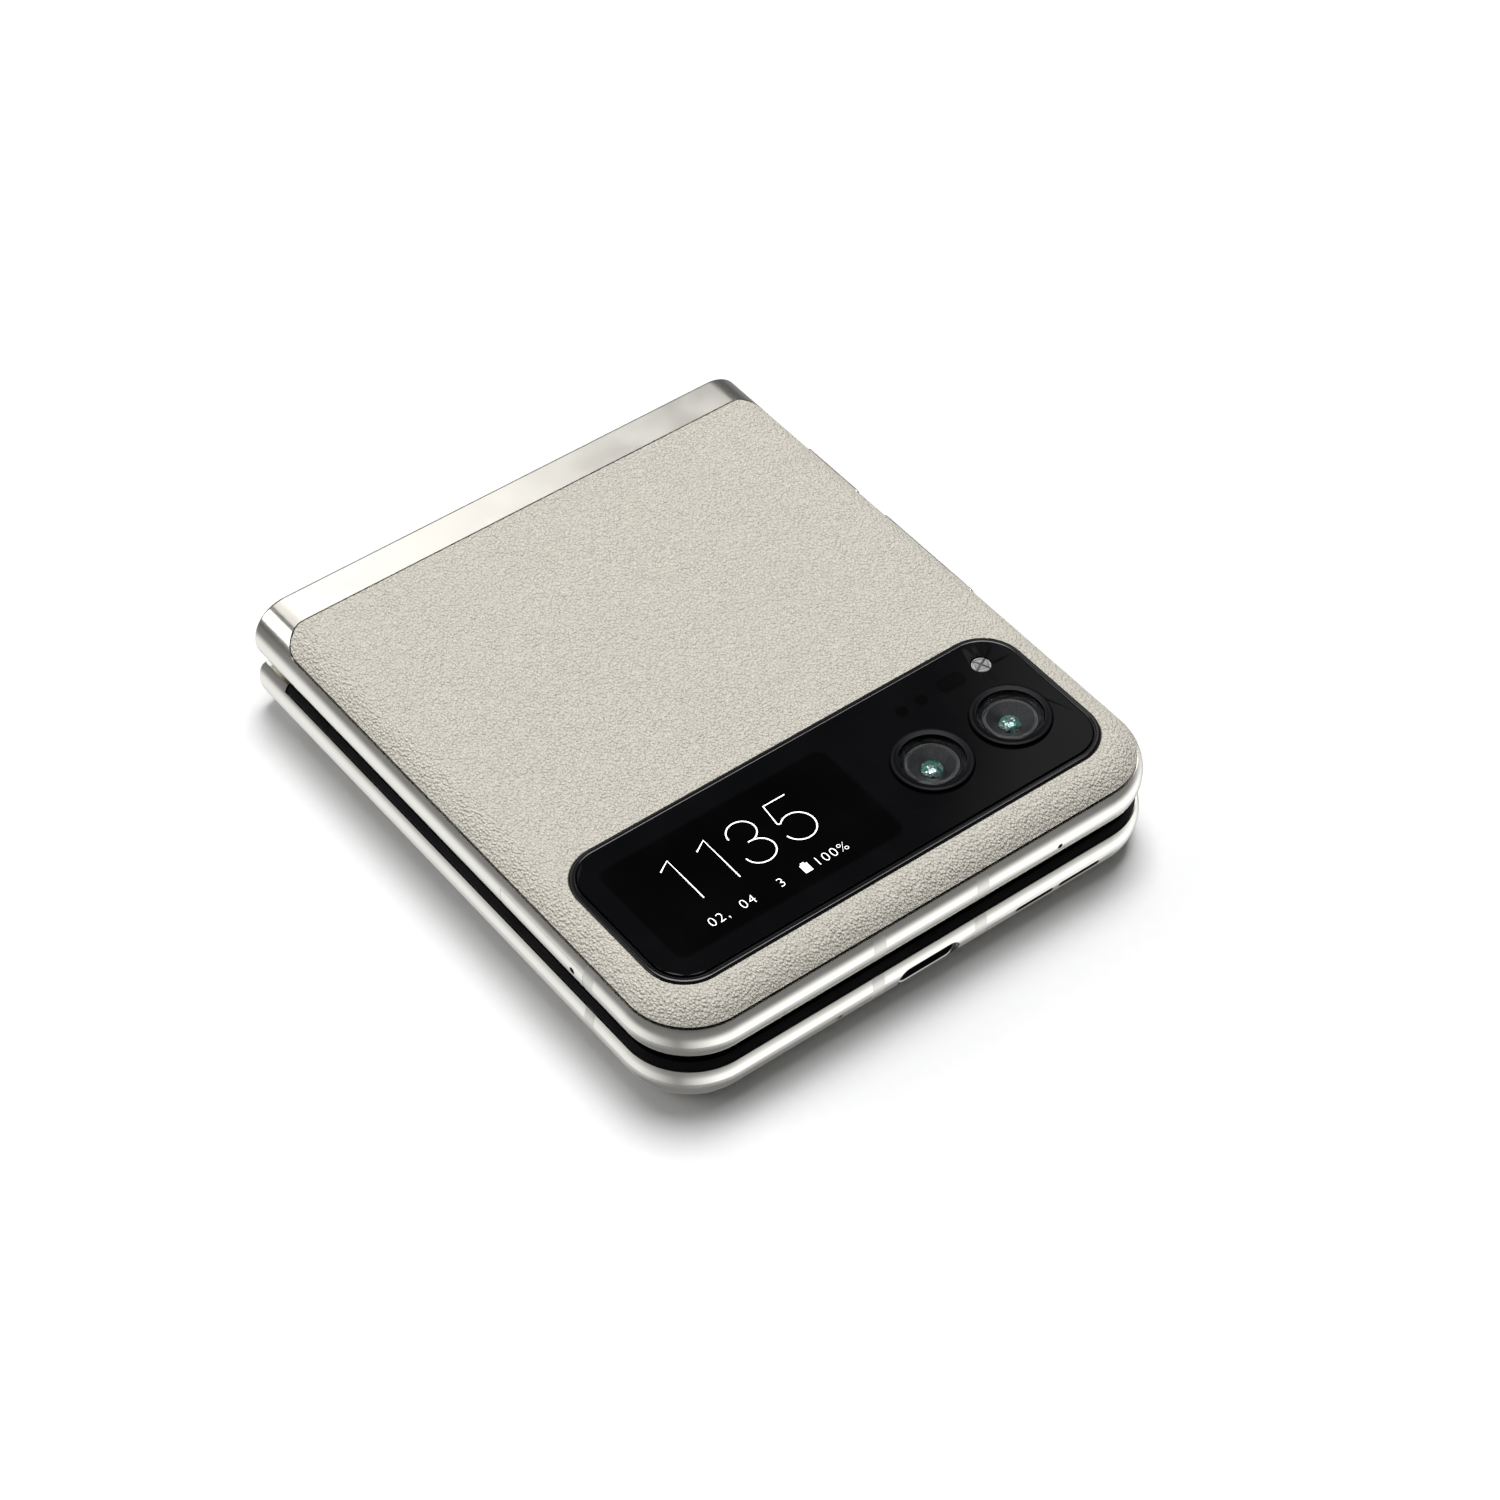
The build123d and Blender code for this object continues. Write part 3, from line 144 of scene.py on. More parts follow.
class Bench:
    """Holds the piece that is being modelled, and the hand tools that shape it."""

    SEED_SIZE = 0.1  # The plate that shrinks to a profile's first point.
    MERGE_REACH = 1e-6  # Points nearer than this, in metres, are one point.
    SHARP = 40.0  # Edges sharper than this many degrees are rounded.
    FACE_WEIGHT = 80

    def __init__(self, name: str) -> None:
        """Clears the bench for a new piece.

        Args:
            name: The name that the finished piece gets.
        """
        self.name = name
        self.clear()

    @staticmethod
    def clear() -> None:
        """Leaves edit mode and deselects everything."""
        if bpy.context.object is not None and bpy.context.object.mode != "OBJECT":
            bpy.ops.object.mode_set(mode="OBJECT")
        bpy.ops.object.select_all(action="DESELECT")

    @property
    def piece(self) -> bpy.types.Object:
        """The object on the bench."""
        return bpy.context.object

    def take(self, piece: bpy.types.Object) -> None:
        """Puts an existing object on the bench.

        Args:
            piece: The object to work on.
        """
        self.clear()
        piece.select_set(True)
        bpy.context.view_layer.objects.active = piece

    def plate(self, x: float, y: float, z: float, width: float, length: float) -> None:
        """Starts from a flat plate and goes into edit mode.

        Args:
            x: Middle across.
            y: Middle along.
            z: Height.
            width: Size across.
            length: Size along.
        """
        bpy.ops.mesh.primitive_plane_add(size=1.0, location=mm3(x, y, z))
        self.piece.scale = mm3(width, length, METRE)
        self._start_editing()

    def disc(self, x: float, y: float, z: float, radius: float, sides: int) -> None:
        """Starts from a filled disc and goes into edit mode.

        Args:
            x: Centre across.
            y: Centre along.
            z: Height.
            radius: Radius of the disc.
            sides: Sides of its rim.
        """
        bpy.ops.mesh.primitive_circle_add(
            vertices=sides, radius=mm(radius), fill_type="NGON", location=mm3(x, y, z)
        )
        self._start_editing()

    def _start_editing(self) -> None:
        """Names the new primitive, applies its place and size, and goes into edit mode."""
        self.piece.name = self.name
        self.apply_place()
        bpy.ops.object.mode_set(mode="EDIT")

    def stop_editing(self) -> None:
        """Goes back to object mode."""
        if self.piece.mode != "OBJECT":
            bpy.ops.object.mode_set(mode="OBJECT")

    @staticmethod
    def apply_place() -> None:
        """Puts the piece's place, turn and size into its mesh."""
        bpy.ops.object.transform_apply(location=True, rotation=True, scale=True)

    def add_plate(self, x: float, y: float, z: float, width: float, length: float) -> None:
        """Adds a plate to the mesh that is being edited, and leaves only that plate selected.

        Args:
            x: Middle across.
            y: Middle along.
            z: Height.
            width: Size across.
            length: Size along.
        """
        bpy.ops.mesh.select_all(action="DESELECT")
        bpy.ops.mesh.primitive_plane_add(size=1.0, location=mm3(x, y, z))
        bpy.ops.transform.resize(value=(mm(width), mm(length), 1.0), center_override=mm3(x, y, z))

    def add_circle(self, x: float, y: float, z: float, radius: float, sides: int) -> None:
        """Adds an open circle to the mesh that is being edited, and leaves only that circle selected."""
        bpy.ops.mesh.select_all(action="DESELECT")
        bpy.ops.mesh.primitive_circle_add(
            vertices=sides, radius=mm(radius), fill_type="NOTHING", location=mm3(x, y, z)
        )

    def pick(self, part: Part, test: Test = anywhere) -> None:
        """Selects elements of the mesh that is being edited, and nothing else.

        Args:
            part: Whether vertices, edges or faces are picked.
            test: Says from an element's middle, in metres, and its normal whether it is picked. An edge gives
                its direction in place of a normal.
        """
        bpy.ops.mesh.select_mode(type=part.value)
        bpy.ops.mesh.select_all(action="DESELECT")
        mesh = bmesh.from_edit_mesh(self.piece.data)
        if part is Part.VERTS:
            for vert in mesh.verts:
                if test(vert.co, vert.normal):
                    vert.select_set(True)
        elif part is Part.EDGES:
            for edge in mesh.edges:
                start, end = (vert.co for vert in edge.verts)
                if test((start + end) / 2, (end - start).normalized()):
                    edge.select_set(True)
        else:
            for face in mesh.faces:
                if test(face.calc_center_median(), face.normal):
                    face.select_set(True)
        bmesh.update_edit_mesh(self.piece.data)

    def round_corners(self, radius: float, steps: int) -> None:
        """Rounds the selected corners of a flat outline.

        Args:
            radius: Radius of the corners.
            steps: Straight pieces in each corner.
        """
        bpy.ops.mesh.bevel(
            offset=mm(radius), offset_type="OFFSET", segments=steps, profile=0.5, affect="VERTICES"
        )

    def inset(self, width: float, rise: float = 0.0) -> None:
        """Insets the selected faces and lifts the inner one.

        Args:
            width: Width of the new rim.
            rise: How far the inner face moves along its normal.
        """
        bpy.ops.mesh.inset(thickness=mm(width), depth=mm(rise), use_boundary=True, use_even_offset=True)

    def pull(self, x: float, y: float, z: float) -> None:
        """Extrudes the selection and moves it."""
        bpy.ops.mesh.extrude_region_move(TRANSFORM_OT_translate={"value": mm3(x, y, z)})

    def slice(self, x: float, y: float, z: float, normal: Triple) -> None:
        """Cuts everything along a plane and drops what lies on the normal's side."""
        bpy.ops.mesh.select_all(action="SELECT")
        bpy.ops.mesh.bisect(plane_co=mm3(x, y, z), plane_no=normal, clear_outer=True, use_fill=False)

    def spin_profile(self, profile: Sequence[Point], x: float, y: float, steps: int) -> None:
        """Turns a profile into a ring or a bowl about an upright axis.

        Args:
            profile: Radius and height of each point.
            x: Axis across.
            y: Axis along.
            steps: Steps round the axis.
        """
        radius, height = profile[0]
        bpy.ops.mesh.primitive_plane_add(size=mm(self.SEED_SIZE), location=mm3(x + radius, y, height))
        self._start_editing()
        bpy.ops.mesh.select_mode(type="VERT")
        bpy.ops.mesh.select_all(action="SELECT")
        bpy.ops.mesh.merge(type="CENTER")
        bpy.ops.mesh.select_all(action="SELECT")
        for (radius, height), (next_radius, next_height) in zip(profile, profile[1:]):
            bpy.ops.mesh.extrude_vertices_move(
                TRANSFORM_OT_translate={"value": mm3(next_radius - radius, 0.0, next_height - height)}
            )
        bpy.ops.mesh.select_all(action="SELECT")
        bpy.ops.mesh.spin(
            steps=steps, angle=math.tau, center=mm3(x, y, 0.0), axis=UPRIGHT, use_auto_merge=True
        )
        self.tidy()

    def tidy(self, closed: bool = True) -> None:
        """Merges doubles and turns the faces outwards.

        Args:
            closed: Whether the normals are worked out again.
        """
        bpy.ops.mesh.select_all(action="SELECT")
        bpy.ops.mesh.remove_doubles(threshold=self.MERGE_REACH)
        if closed:
            bpy.ops.mesh.normals_make_consistent(inside=False)

    def modifier(self, kind: str, **settings: object) -> None:
        """Adds a modifier to the piece and applies it.

        Args:
            kind: Blender's name of the modifier.
            **settings: Its settings.
        """
        self.stop_editing()
        bpy.ops.object.modifier_add(type=kind)
        added = self.piece.modifiers[-1]
        for key, value in settings.items():
            setattr(added, key, value)
        bpy.ops.object.modifier_apply(modifier=added.name)

    def soften(self, width: float, steps: int) -> None:
        """Rounds the sharp edges of the piece.

        Args:
            width: Width of the rounding.
            steps: Faces across it.
        """
        self.modifier(
            "BEVEL",
            width=mm(width),
            segments=steps,
            limit_method="ANGLE",
            angle_limit=math.radians(self.SHARP),
            use_clamp_overlap=True,
            miter_outer="MITER_ARC",
        )

    def thicken(self, thickness: float) -> None:
        """Gives an open sheet a wall on its inner side."""
        self.modifier("SOLIDIFY", thickness=mm(thickness), offset=-1.0, use_even_offset=True)

    def finish(
        self, body: Body | None, finish: Material, slot: str, smooth: float = 35.0
    ) -> bpy.types.Object:
        """Smooths the piece, gives it its finish and puts it on its body.

        Args:
            body: The body that it rides on, or None for a piece that is left on no body.
            finish: Its material.
            slot: The record's material slot. Not used.
            smooth: Edges flatter than this many degrees are shaded smooth.

        Returns:
            The finished piece.
        """
        self.stop_editing()
        self.apply_place()
        bpy.ops.object.shade_smooth_by_angle(angle=math.radians(smooth))
        self.modifier("WEIGHTED_NORMAL", keep_sharp=True, weight=self.FACE_WEIGHT)
        piece = self.piece
        piece.name = self.name
        piece.data.name = self.name
        piece.data.materials.clear()
        piece.data.materials.append(finish)
        if body is not None:
            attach(piece, body.value)
        LOG.info("%s: %d faces", piece.name, len(piece.data.polygons))
        return piece


# ---------------------------------------------------------------------------------------------------------------
# Finishes
# ---------------------------------------------------------------------------------------------------------------


class NodeSheet:
    """A node tree while it is put together."""

    def __init__(self, tree: bpy.types.NodeTree) -> None:
        """Takes the tree.

        Args:
            tree: The node tree of a material or of the room.
        """
        self.nodes = tree.nodes
        self.links = tree.links

    def node(self, kind: str, inputs: dict[str, object], **settings: object) -> bpy.types.Node:
        """Adds a node.

        Args:
            kind: Blender's name of the node.
            inputs: Numbers for its sockets, or sockets that feed them.
            **settings: Its settings.

        Returns:
            The node.
        """
        added = self.nodes.new(kind)
        for key, value in settings.items():
            setattr(added, key, value)
        for key, value in inputs.items():
            if isinstance(value, Socket):
                self.links.new(value, added.inputs[key])
            else:
                added.inputs[key].default_value = value
        return added

    def span(
        self, source: Socket, low: float, high: float, start: float = 0.0, end: float = 1.0, soft: bool = False
    ) -> Socket:
        """Maps a pattern's value from one span to another.

        Args:
            source: The pattern.
            low: What it gives at the start.
            high: What it gives at the end.
            start: The value where the span starts.
            end: The value where the span ends.
            soft: Whether the ends are soft.

        Returns:
            The mapped value.
        """
        inputs = {"Value": source, "From Min": start, "From Max": end, "To Min": low, "To Max": high}
        kind = "SMOOTHSTEP" if soft else "LINEAR"
        return self.node("ShaderNodeMapRange", inputs, interpolation_type=kind).outputs["Result"]

    def maths(self, operation: str, *numbers: object) -> Socket:
        """Works out one number from others."""
        return self.node("ShaderNodeMath", dict(enumerate(numbers)), operation=operation).outputs[0]

    def place_maths(self, operation: str, *places: object) -> Socket:
        """Works out one place from others."""
        return self.node("ShaderNodeVectorMath", dict(enumerate(places)), operation=operation).outputs["Vector"]

    def measure(self, operation: str, *places: object) -> Socket:
        """Works out one number from places."""
        return self.node("ShaderNodeVectorMath", dict(enumerate(places)), operation=operation).outputs["Value"]

    def sum(self, first: Socket, second: Socket, share: float) -> Socket:
        """Adds a share of the second pattern to the first."""
        return self.maths("MULTIPLY_ADD", second, share, first)


class FinishSheet(NodeSheet):
    """One node material while it is put together."""

    def __init__(self, name: str) -> None:
        """Starts a material.

        Args:
            name: Its name.
        """
        self.material = bpy.data.materials.new(name)
        self.material.use_nodes = True
        super().__init__(self.material.node_tree)
        self.shader = self.nodes["Principled BSDF"]
        self.place = self.nodes.new("ShaderNodeTexCoord").outputs["Object"]

    def stretched(self, scale: Triple, turn: float = 0.0, shift: Triple = (0.0, 0.0, 0.0)) -> Socket:
        """Gives the place on the object, stretched, turned about the upright axis and moved.

        Args:
            scale: Stretch along each axis.
            turn: Turn in degrees.
            shift: How far it moves, in metres.

        Returns:
            The new place.
        """
        inputs = {
            "Vector": self.place,
            "Scale": scale,
            "Rotation": (0.0, 0.0, math.radians(turn)),
            "Location": shift,
        }
        return self.node("ShaderNodeMapping", inputs).outputs["Vector"]

    def noise(self, grain: float, detail: float, place: Socket | None = None) -> bpy.types.Node:
        """Adds cloudy noise whose lumps are about `grain` millimetres across."""
        inputs = {"Vector": place or self.place, "Scale": 1.0 / mm(grain), "Detail": detail}
        return self.node("ShaderNodeTexNoise", inputs)

    def cloud(self, grain: float, detail: float, place: Socket | None = None) -> Socket:
        """Gives the value of cloudy noise."""
        return self.noise(grain, detail, place).outputs["Fac"]

    def cells(self, grain: float, kind: Cells, place: Socket) -> bpy.types.Node:
        """Adds a cell pattern whose cells are about `grain` millimetres across."""
        inputs = {"Vector": place, "Scale": 1.0 / mm(grain)}
        return self.node("ShaderNodeTexVoronoi", inputs, feature=kind.value)

    def wobbled(self, place: Socket, grain: float, reach: float) -> Socket:
        """Pushes a place about with noise, so that a pattern on it isn't regular.

        Args:
            place: The place to push.
            grain: Size of the noise in millimetres.
            reach: How far it pushes, in millimetres.

        Returns:
            The pushed place.
        """
        push = self.noise(grain, 2.0).outputs["Color"]
        return self.place_maths("MULTIPLY_ADD", push, (mm(reach), mm(reach), mm(reach)), place)

    def ramp(self, source: Socket, stops: Iterable[tuple[float, Colour]]) -> Socket:
        """Turns a pattern's value into a colour.

        Args:
            source: The pattern.
            stops: Place and colour of each stop.

        Returns:
            The colour.
        """
        added = self.nodes.new("ShaderNodeValToRGB")
        self.links.new(source, added.inputs["Fac"])
        elements = added.color_ramp.elements
        for index, (place, colour) in enumerate(stops):
            element = elements[index] if index < len(elements) else elements.new(place)
            element.position = place
            element.color = (*colour, 1.0)
        return added.outputs["Color"]

    def relief(self, height: Socket, depth: float, under: Socket | None = None) -> Socket:
        """Makes a bump.

        Args:
            height: The pattern that is raised.
            depth: Its full height in millimetres.
            under: A coarser bump that it stands on.

        Returns:
            The normal.
        """
        inputs: dict[str, object] = {"Height": height, "Distance": mm(depth), "Strength": 1.0}
        if under is not None:
            inputs["Normal"] = under
        return self.node("ShaderNodeBump", inputs).outputs["Normal"]

    def done(self, **inputs: object) -> Material:
        """Sets the shader and gives the material.

        Args:
            **inputs: The shader's sockets, with spaces written as underscores.

        Returns:
            The material.
        """
        for key, value in inputs.items():
            socket = self.shader.inputs[key.replace("_", " ")]
            if isinstance(value, Socket):
                self.links.new(value, socket)
            elif isinstance(value, tuple) and len(value) == 3:
                socket.default_value = (*value, 1.0)
            else:
                socket.default_value = value
        return self.material


@dataclass(frozen=True)
class LeatherFinish:
    """Pebbled leather with short soft creases, its colour lighter on the raised pebbles and creases and darker in
    the valleys between them (painted shade of the grain), over a broad uneven tone of its own.
    """

    name: str
    light: Colour
    dark: Colour
    pebble: float = 0.32
    pebble_depth: float = 0.26
    pebble_stretch: Triple = (1.0, 0.75, 1.0)
    pebble_turn: float = 24.0
    wobble: float = 0.9
    wobble_reach: float = 0.16
    crease: float = 1.2
    crease_depth: float = 0.05
    crease_stretch: Triple = (1.0, 0.35, 1.0)
    crease_turn: float = 30.0
    fine: float = 0.2
    fine_depth: float = 0.08
    blotch: float = 14.0
    roughness: float = 0.62
    gloss: float = 0.42

    def build(self) -> Material:
        """Makes the material.

        Returns:
            The material.
        """
        sheet = FinishSheet(self.name)
        leaning = sheet.stretched(self.pebble_stretch, turn=self.pebble_turn)
        wobbled = sheet.wobbled(leaning, self.wobble, self.wobble_reach)
        pebbles = sheet.cells(self.pebble, Cells.CENTRES, wobbled).outputs["Distance"]
        creases = sheet.cloud(self.crease, 4.0, sheet.stretched(self.crease_stretch, turn=self.crease_turn))
        fine = sheet.cloud(self.fine, 2.0)
        broad = sheet.cloud(self.blotch, 2.0)
        normal = sheet.relief(creases, self.crease_depth)
        normal = sheet.relief(sheet.span(pebbles, 1.0, 0.0, 0.0, 0.75), self.pebble_depth, normal)
        normal = sheet.relief(fine, self.fine_depth, normal)
        # Colour lighter on the raised pebbles and where the creases rise, darker in the valleys between them:
        # painted shade of the grain's relief. The broad blotches are the leather's own uneven tone.
        tone = sheet.sum(sheet.span(pebbles, 0.95, 0.1, 0.1, 0.75), broad, 0.1)
        tone = sheet.sum(tone, creases, 0.15)
        return sheet.done(
            Base_Color=sheet.ramp(tone, ((0.25, self.dark), (0.85, self.light))),
            Roughness=sheet.span(pebbles, self.roughness - 0.05, self.roughness + 0.16),
            Specular_IOR_Level=self.gloss,
            Normal=normal,
        )


@dataclass(frozen=True)
class MetalFinish:
    """Metal with a fine blasted or brushed surface and a little wear."""

    name: str
    colour: Colour
    shade: Colour
    roughness: float
    blast: float = 0.05
    blast_depth: float = 0.0006
    brush: Triple = (1.0, 1.0, 1.0)
    smear: float = 6.0
    spread: float = 0.05

    def build(self) -> Material:
        """Makes the material.

        Returns:
            The material.
        """
        sheet = FinishSheet(self.name)
        brushed = sheet.stretched(self.brush)
        blast = sheet.cloud(self.blast, 2.0, brushed)
        smear = sheet.cloud(self.smear, 4.0)
        worn = sheet.sum(smear, blast, 0.4)
        return sheet.done(
            Base_Color=sheet.ramp(smear, ((0.3, self.shade), (0.7, self.colour))),
            Metallic=1.0,
            Roughness=sheet.span(worn, self.roughness - self.spread, self.roughness + self.spread, 0.4, 1.0),
            Normal=sheet.relief(blast, self.blast_depth),
        )


@dataclass(frozen=True)
class PlasticFinish:
    """Moulded plastic with a fine texture."""

    name: str
    colour: Colour
    shade: Colour
    roughness: float
    grain: float = 0.12
    grain_depth: float = 0.003
    blotch: float = 5.0
    gloss: float = 0.5

    def build(self) -> Material:
        """Makes the material.

        Returns:
            The material.
        """
        sheet = FinishSheet(self.name)
        grain = sheet.cloud(self.grain, 2.0)
        broad = sheet.cloud(self.blotch, 3.0)
        tone = sheet.sum(broad, grain, 0.3)
        return sheet.done(
            Base_Color=sheet.ramp(tone, ((0.35, self.shade), (0.8, self.colour))),
            Roughness=sheet.span(broad, self.roughness - 0.05, self.roughness + 0.08, 0.3, 0.7),
            Specular_IOR_Level=self.gloss,
            Normal=sheet.relief(grain, self.grain_depth),
        )


@dataclass(frozen=True)
class CoverGlassFinish:
    """Black glass whose display field is deeper black than the border round it."""

    name: str
    field_x: float
    field_y: float
    half_width: float
    half_length: float
    corner: float = 1.5
    fade_inside: float = 0.15
    fade_outside: float = 0.35
    smear: float = 9.0
    smear_depth: float = 0.0004
    border: Colour = (0.002, 0.0021, 0.0025)
    field: Colour = (0.0003, 0.0003, 0.0004)
    roughness: float = 0.1
    gloss: float = 0.08

    def build(self) -> Material:
        """Makes the material.

        Returns:
            The material.
        """
        sheet = FinishSheet(self.name)
        moved = sheet.place_maths("SUBTRACT", sheet.place, mm3(self.field_x, self.field_y, 0.0))
        folded = sheet.place_maths("ABSOLUTE", moved)
        inner = mm3(self.half_width - self.corner, self.half_length - self.corner, METRE)
        beyond = sheet.place_maths("SUBTRACT", folded, inner)
        beyond = sheet.place_maths("MAXIMUM", beyond, (0.0, 0.0, 0.0))
        reach = sheet.measure("LENGTH", beyond)
        fade = (mm(self.corner - self.fade_inside), mm(self.corner + self.fade_outside))
        outside = sheet.span(reach, 0.0, 1.0, *fade)
        smear = sheet.cloud(self.smear, 3.0)
        return sheet.done(
            Base_Color=sheet.ramp(outside, ((0.0, self.field), (1.0, self.border))),
            Roughness=sheet.span(smear, self.roughness - 0.02, self.roughness + 0.03, 0.3, 0.7),
            Specular_IOR_Level=self.gloss,
            Normal=sheet.relief(smear, self.smear_depth),
        )


@dataclass(frozen=True)
class DarkGlossFinish:
    """Smooth dark piece: display film, sensor window or glass rim."""

    name: str
    colour: Colour
    shade: Colour
    roughness: float
    gloss: float = 0.5
    smear: float = 7.0
    smear_depth: float = 0.0001

    def build(self) -> Material:
        """Makes the material.

        Returns:
            The material.
        """
        sheet = FinishSheet(self.name)
        smear = sheet.cloud(self.smear, 3.0)
        return sheet.done(
            Base_Color=sheet.ramp(smear, ((0.35, self.shade), (0.7, self.colour))),
            Roughness=sheet.span(smear, self.roughness * 0.94, self.roughness * 1.08, 0.3, 0.7),
            Specular_IOR_Level=self.gloss,
            Normal=sheet.relief(smear, self.smear_depth),
        )


@dataclass(frozen=True)
class ClearFinish:
    """Clear glass with a faint tint."""

    name: str
    tint: Colour
    shade: Colour
    smear: float = 3.0
    bending: float = 1.1

    def build(self) -> Material:
        """Makes the material.

        Returns:
            The material.
        """
        sheet = FinishSheet(self.name)
        smear = sheet.cloud(self.smear, 2.0)
        return sheet.done(
            Base_Color=sheet.ramp(smear, ((0.3, self.shade), (0.7, self.tint))),
            Roughness=sheet.span(smear, 0.04, 0.08, 0.3, 0.7),
            IOR=self.bending,
            Transmission_Weight=1.0,
        )


@dataclass(frozen=True)
class GlintPaintedLensFinish:
    """Front element of a camera: near black, with teal and white glints painted in the middle, painted reflections
    of its coated inner elements.
    """

    name: str
    deep: Colour = (0.002, 0.004, 0.004)
    # Teal and white of the painted glints: painted reflections in the lens.
    teal_glint: Colour = (0.02, 0.22, 0.17)
    bright: Colour = (0.85, 0.92, 0.9)
    facet: float = 0.36
    facet_depth: float = 0.05
    wobble: float = 0.5
    wobble_reach: float = 0.3

    def build(self) -> Material:
        """Makes the material.

        Returns:
            The material.
        """
        sheet = FinishSheet(self.name)
        wobbled = sheet.wobbled(sheet.place, self.wobble, self.wobble_reach)
        facets = sheet.cells(self.facet, Cells.CENTRES, wobbled)
        rims = sheet.cells(self.facet, Cells.RIMS, wobbled).outputs["Distance"]
        chance = sheet.span(facets.outputs["Color"], 0.0, 0.9)
        tone = sheet.sum(chance, sheet.span(rims, 0.0, 0.3, 0.02, 0.2), 1.0)
        # Dark element with patches of teal and white: painted glints, painted reflections of the inner elements.
        stops = ((0.35, self.deep), (0.62, self.teal_glint), (0.8, self.deep), (0.97, self.bright))
        return sheet.done(
            Base_Color=sheet.ramp(tone, stops),
            Roughness=sheet.span(rims, 0.3, 0.08, 0.0, 0.15),
            Metallic=sheet.span(tone, 0.0, 0.9, 0.5, 1.0),
            Coat_Weight=0.6,
            Coat_Roughness=0.03,
            Normal=sheet.relief(facets.outputs["Distance"], self.facet_depth),
        )


@dataclass(frozen=True)
class FlashFinish:
    """Flash window: ridged quarters with a dark cross between them, the colour lighter on the ridges' crests and
    darker in the troughs and the cross, painted shade of the relief.
    """

    name: str
    x: float
    y: float
    turn: float
    bright: Colour = (0.36, 0.36, 0.355)
    dark: Colour = (0.012, 0.012, 0.012)
    cross: float = 0.2
    ridges: float = 28.0
    ridge_depth: float = 0.06

    def build(self) -> Material:
        """Makes the material.

        Returns:
            The material.
        """
        sheet = FinishSheet(self.name)
        moved = sheet.place_maths("SUBTRACT", sheet.place, mm3(self.x, self.y, 0.0))
        turned = sheet.node(
            "ShaderNodeMapping", {"Vector": moved, "Rotation": (0.0, 0.0, -math.radians(self.turn))}
        ).outputs["Vector"]
        parts = sheet.node("ShaderNodeSeparateXYZ", {"Vector": turned}).outputs
        across = sheet.maths("ABSOLUTE", parts["X"])
        nearest = sheet.maths("MINIMUM", across, sheet.maths("ABSOLUTE", parts["Y"]))
        quarter = sheet.span(nearest, 0.0, 1.0, mm(self.cross * 0.4), mm(self.cross), soft=True)
        angle = sheet.maths("ARCTAN2", parts["Y"], parts["X"])
        ridge = sheet.maths("SINE", sheet.maths("MULTIPLY", angle, self.ridges))
        # Colour follows the relief: light on the ridge crests, dark in the troughs and in the cross between the
        # quarters, painted shade.
        tone = sheet.maths("MULTIPLY", quarter, sheet.span(ridge, 0.55, 1.0, -1.0, 1.0))
        return sheet.done(
            Base_Color=sheet.ramp(tone, ((0.0, self.dark), (1.0, self.bright))),
            Roughness=sheet.span(tone, 0.4, 0.15),
            Specular_IOR_Level=0.7,
            Normal=sheet.relief(tone, self.ridge_depth),
        )


@dataclass(frozen=True)
class LightFinish:
    """Lit ink of the clock, a little paler in places."""

    name: str
    colour: Colour
    strength: float
    grain: float = 0.3
    paler: float = 0.93

    def build(self) -> Material:
        """Makes the material.

        Returns:
            The material.
        """
        sheet = FinishSheet(self.name)
        grain = sheet.cloud(self.grain, 1.0)
        paler = tuple(channel * self.paler for channel in self.colour)
        glow = sheet.ramp(grain, ((0.3, paler), (0.7, self.colour)))
        return sheet.done(
            Base_Color=glow,
            Roughness=sheet.span(grain, 0.25, 0.35),
            Emission_Color=glow,
            Emission_Strength=self.strength,
        )


@dataclass(frozen=True)
class CoilFinish:
    """Flat winding of enamelled wire round an upright axis, painted darker in the grooves between its turns:
    painted shade.
    """

    name: str
    centre_y: float
    pitch: float = 0.55
    wire_depth: float = 0.12
    wire: Colour = (0.72, 0.32, 0.14)
    # Darker copper of the grooves between the turns: painted shade.
    gap: Colour = (0.12, 0.045, 0.02)

    def build(self) -> Material:
        """Makes the material.

        Returns:
            The material.
        """
        sheet = FinishSheet(self.name)
        centred = sheet.stretched((1.0, 1.0, 0.0), shift=(0.0, -mm(self.centre_y), 0.0))
        turns = sheet.node(
            "ShaderNodeTexWave",
            {"Vector": centred, "Scale": RING_SCALE / mm(self.pitch), "Distortion": 0.0},
            wave_type="RINGS",
            rings_direction="SPHERICAL",
        ).outputs["Fac"]
        # Wire colour on the turns, painted shade in the grooves between them.
        return sheet.done(
            Base_Color=sheet.ramp(turns, ((0.1, self.gap), (0.5, self.wire))),
            Metallic=sheet.span(turns, 0.4, 1.0),
            Roughness=sheet.span(turns, 0.6, 0.32),
            Normal=sheet.relief(turns, self.wire_depth),
        )


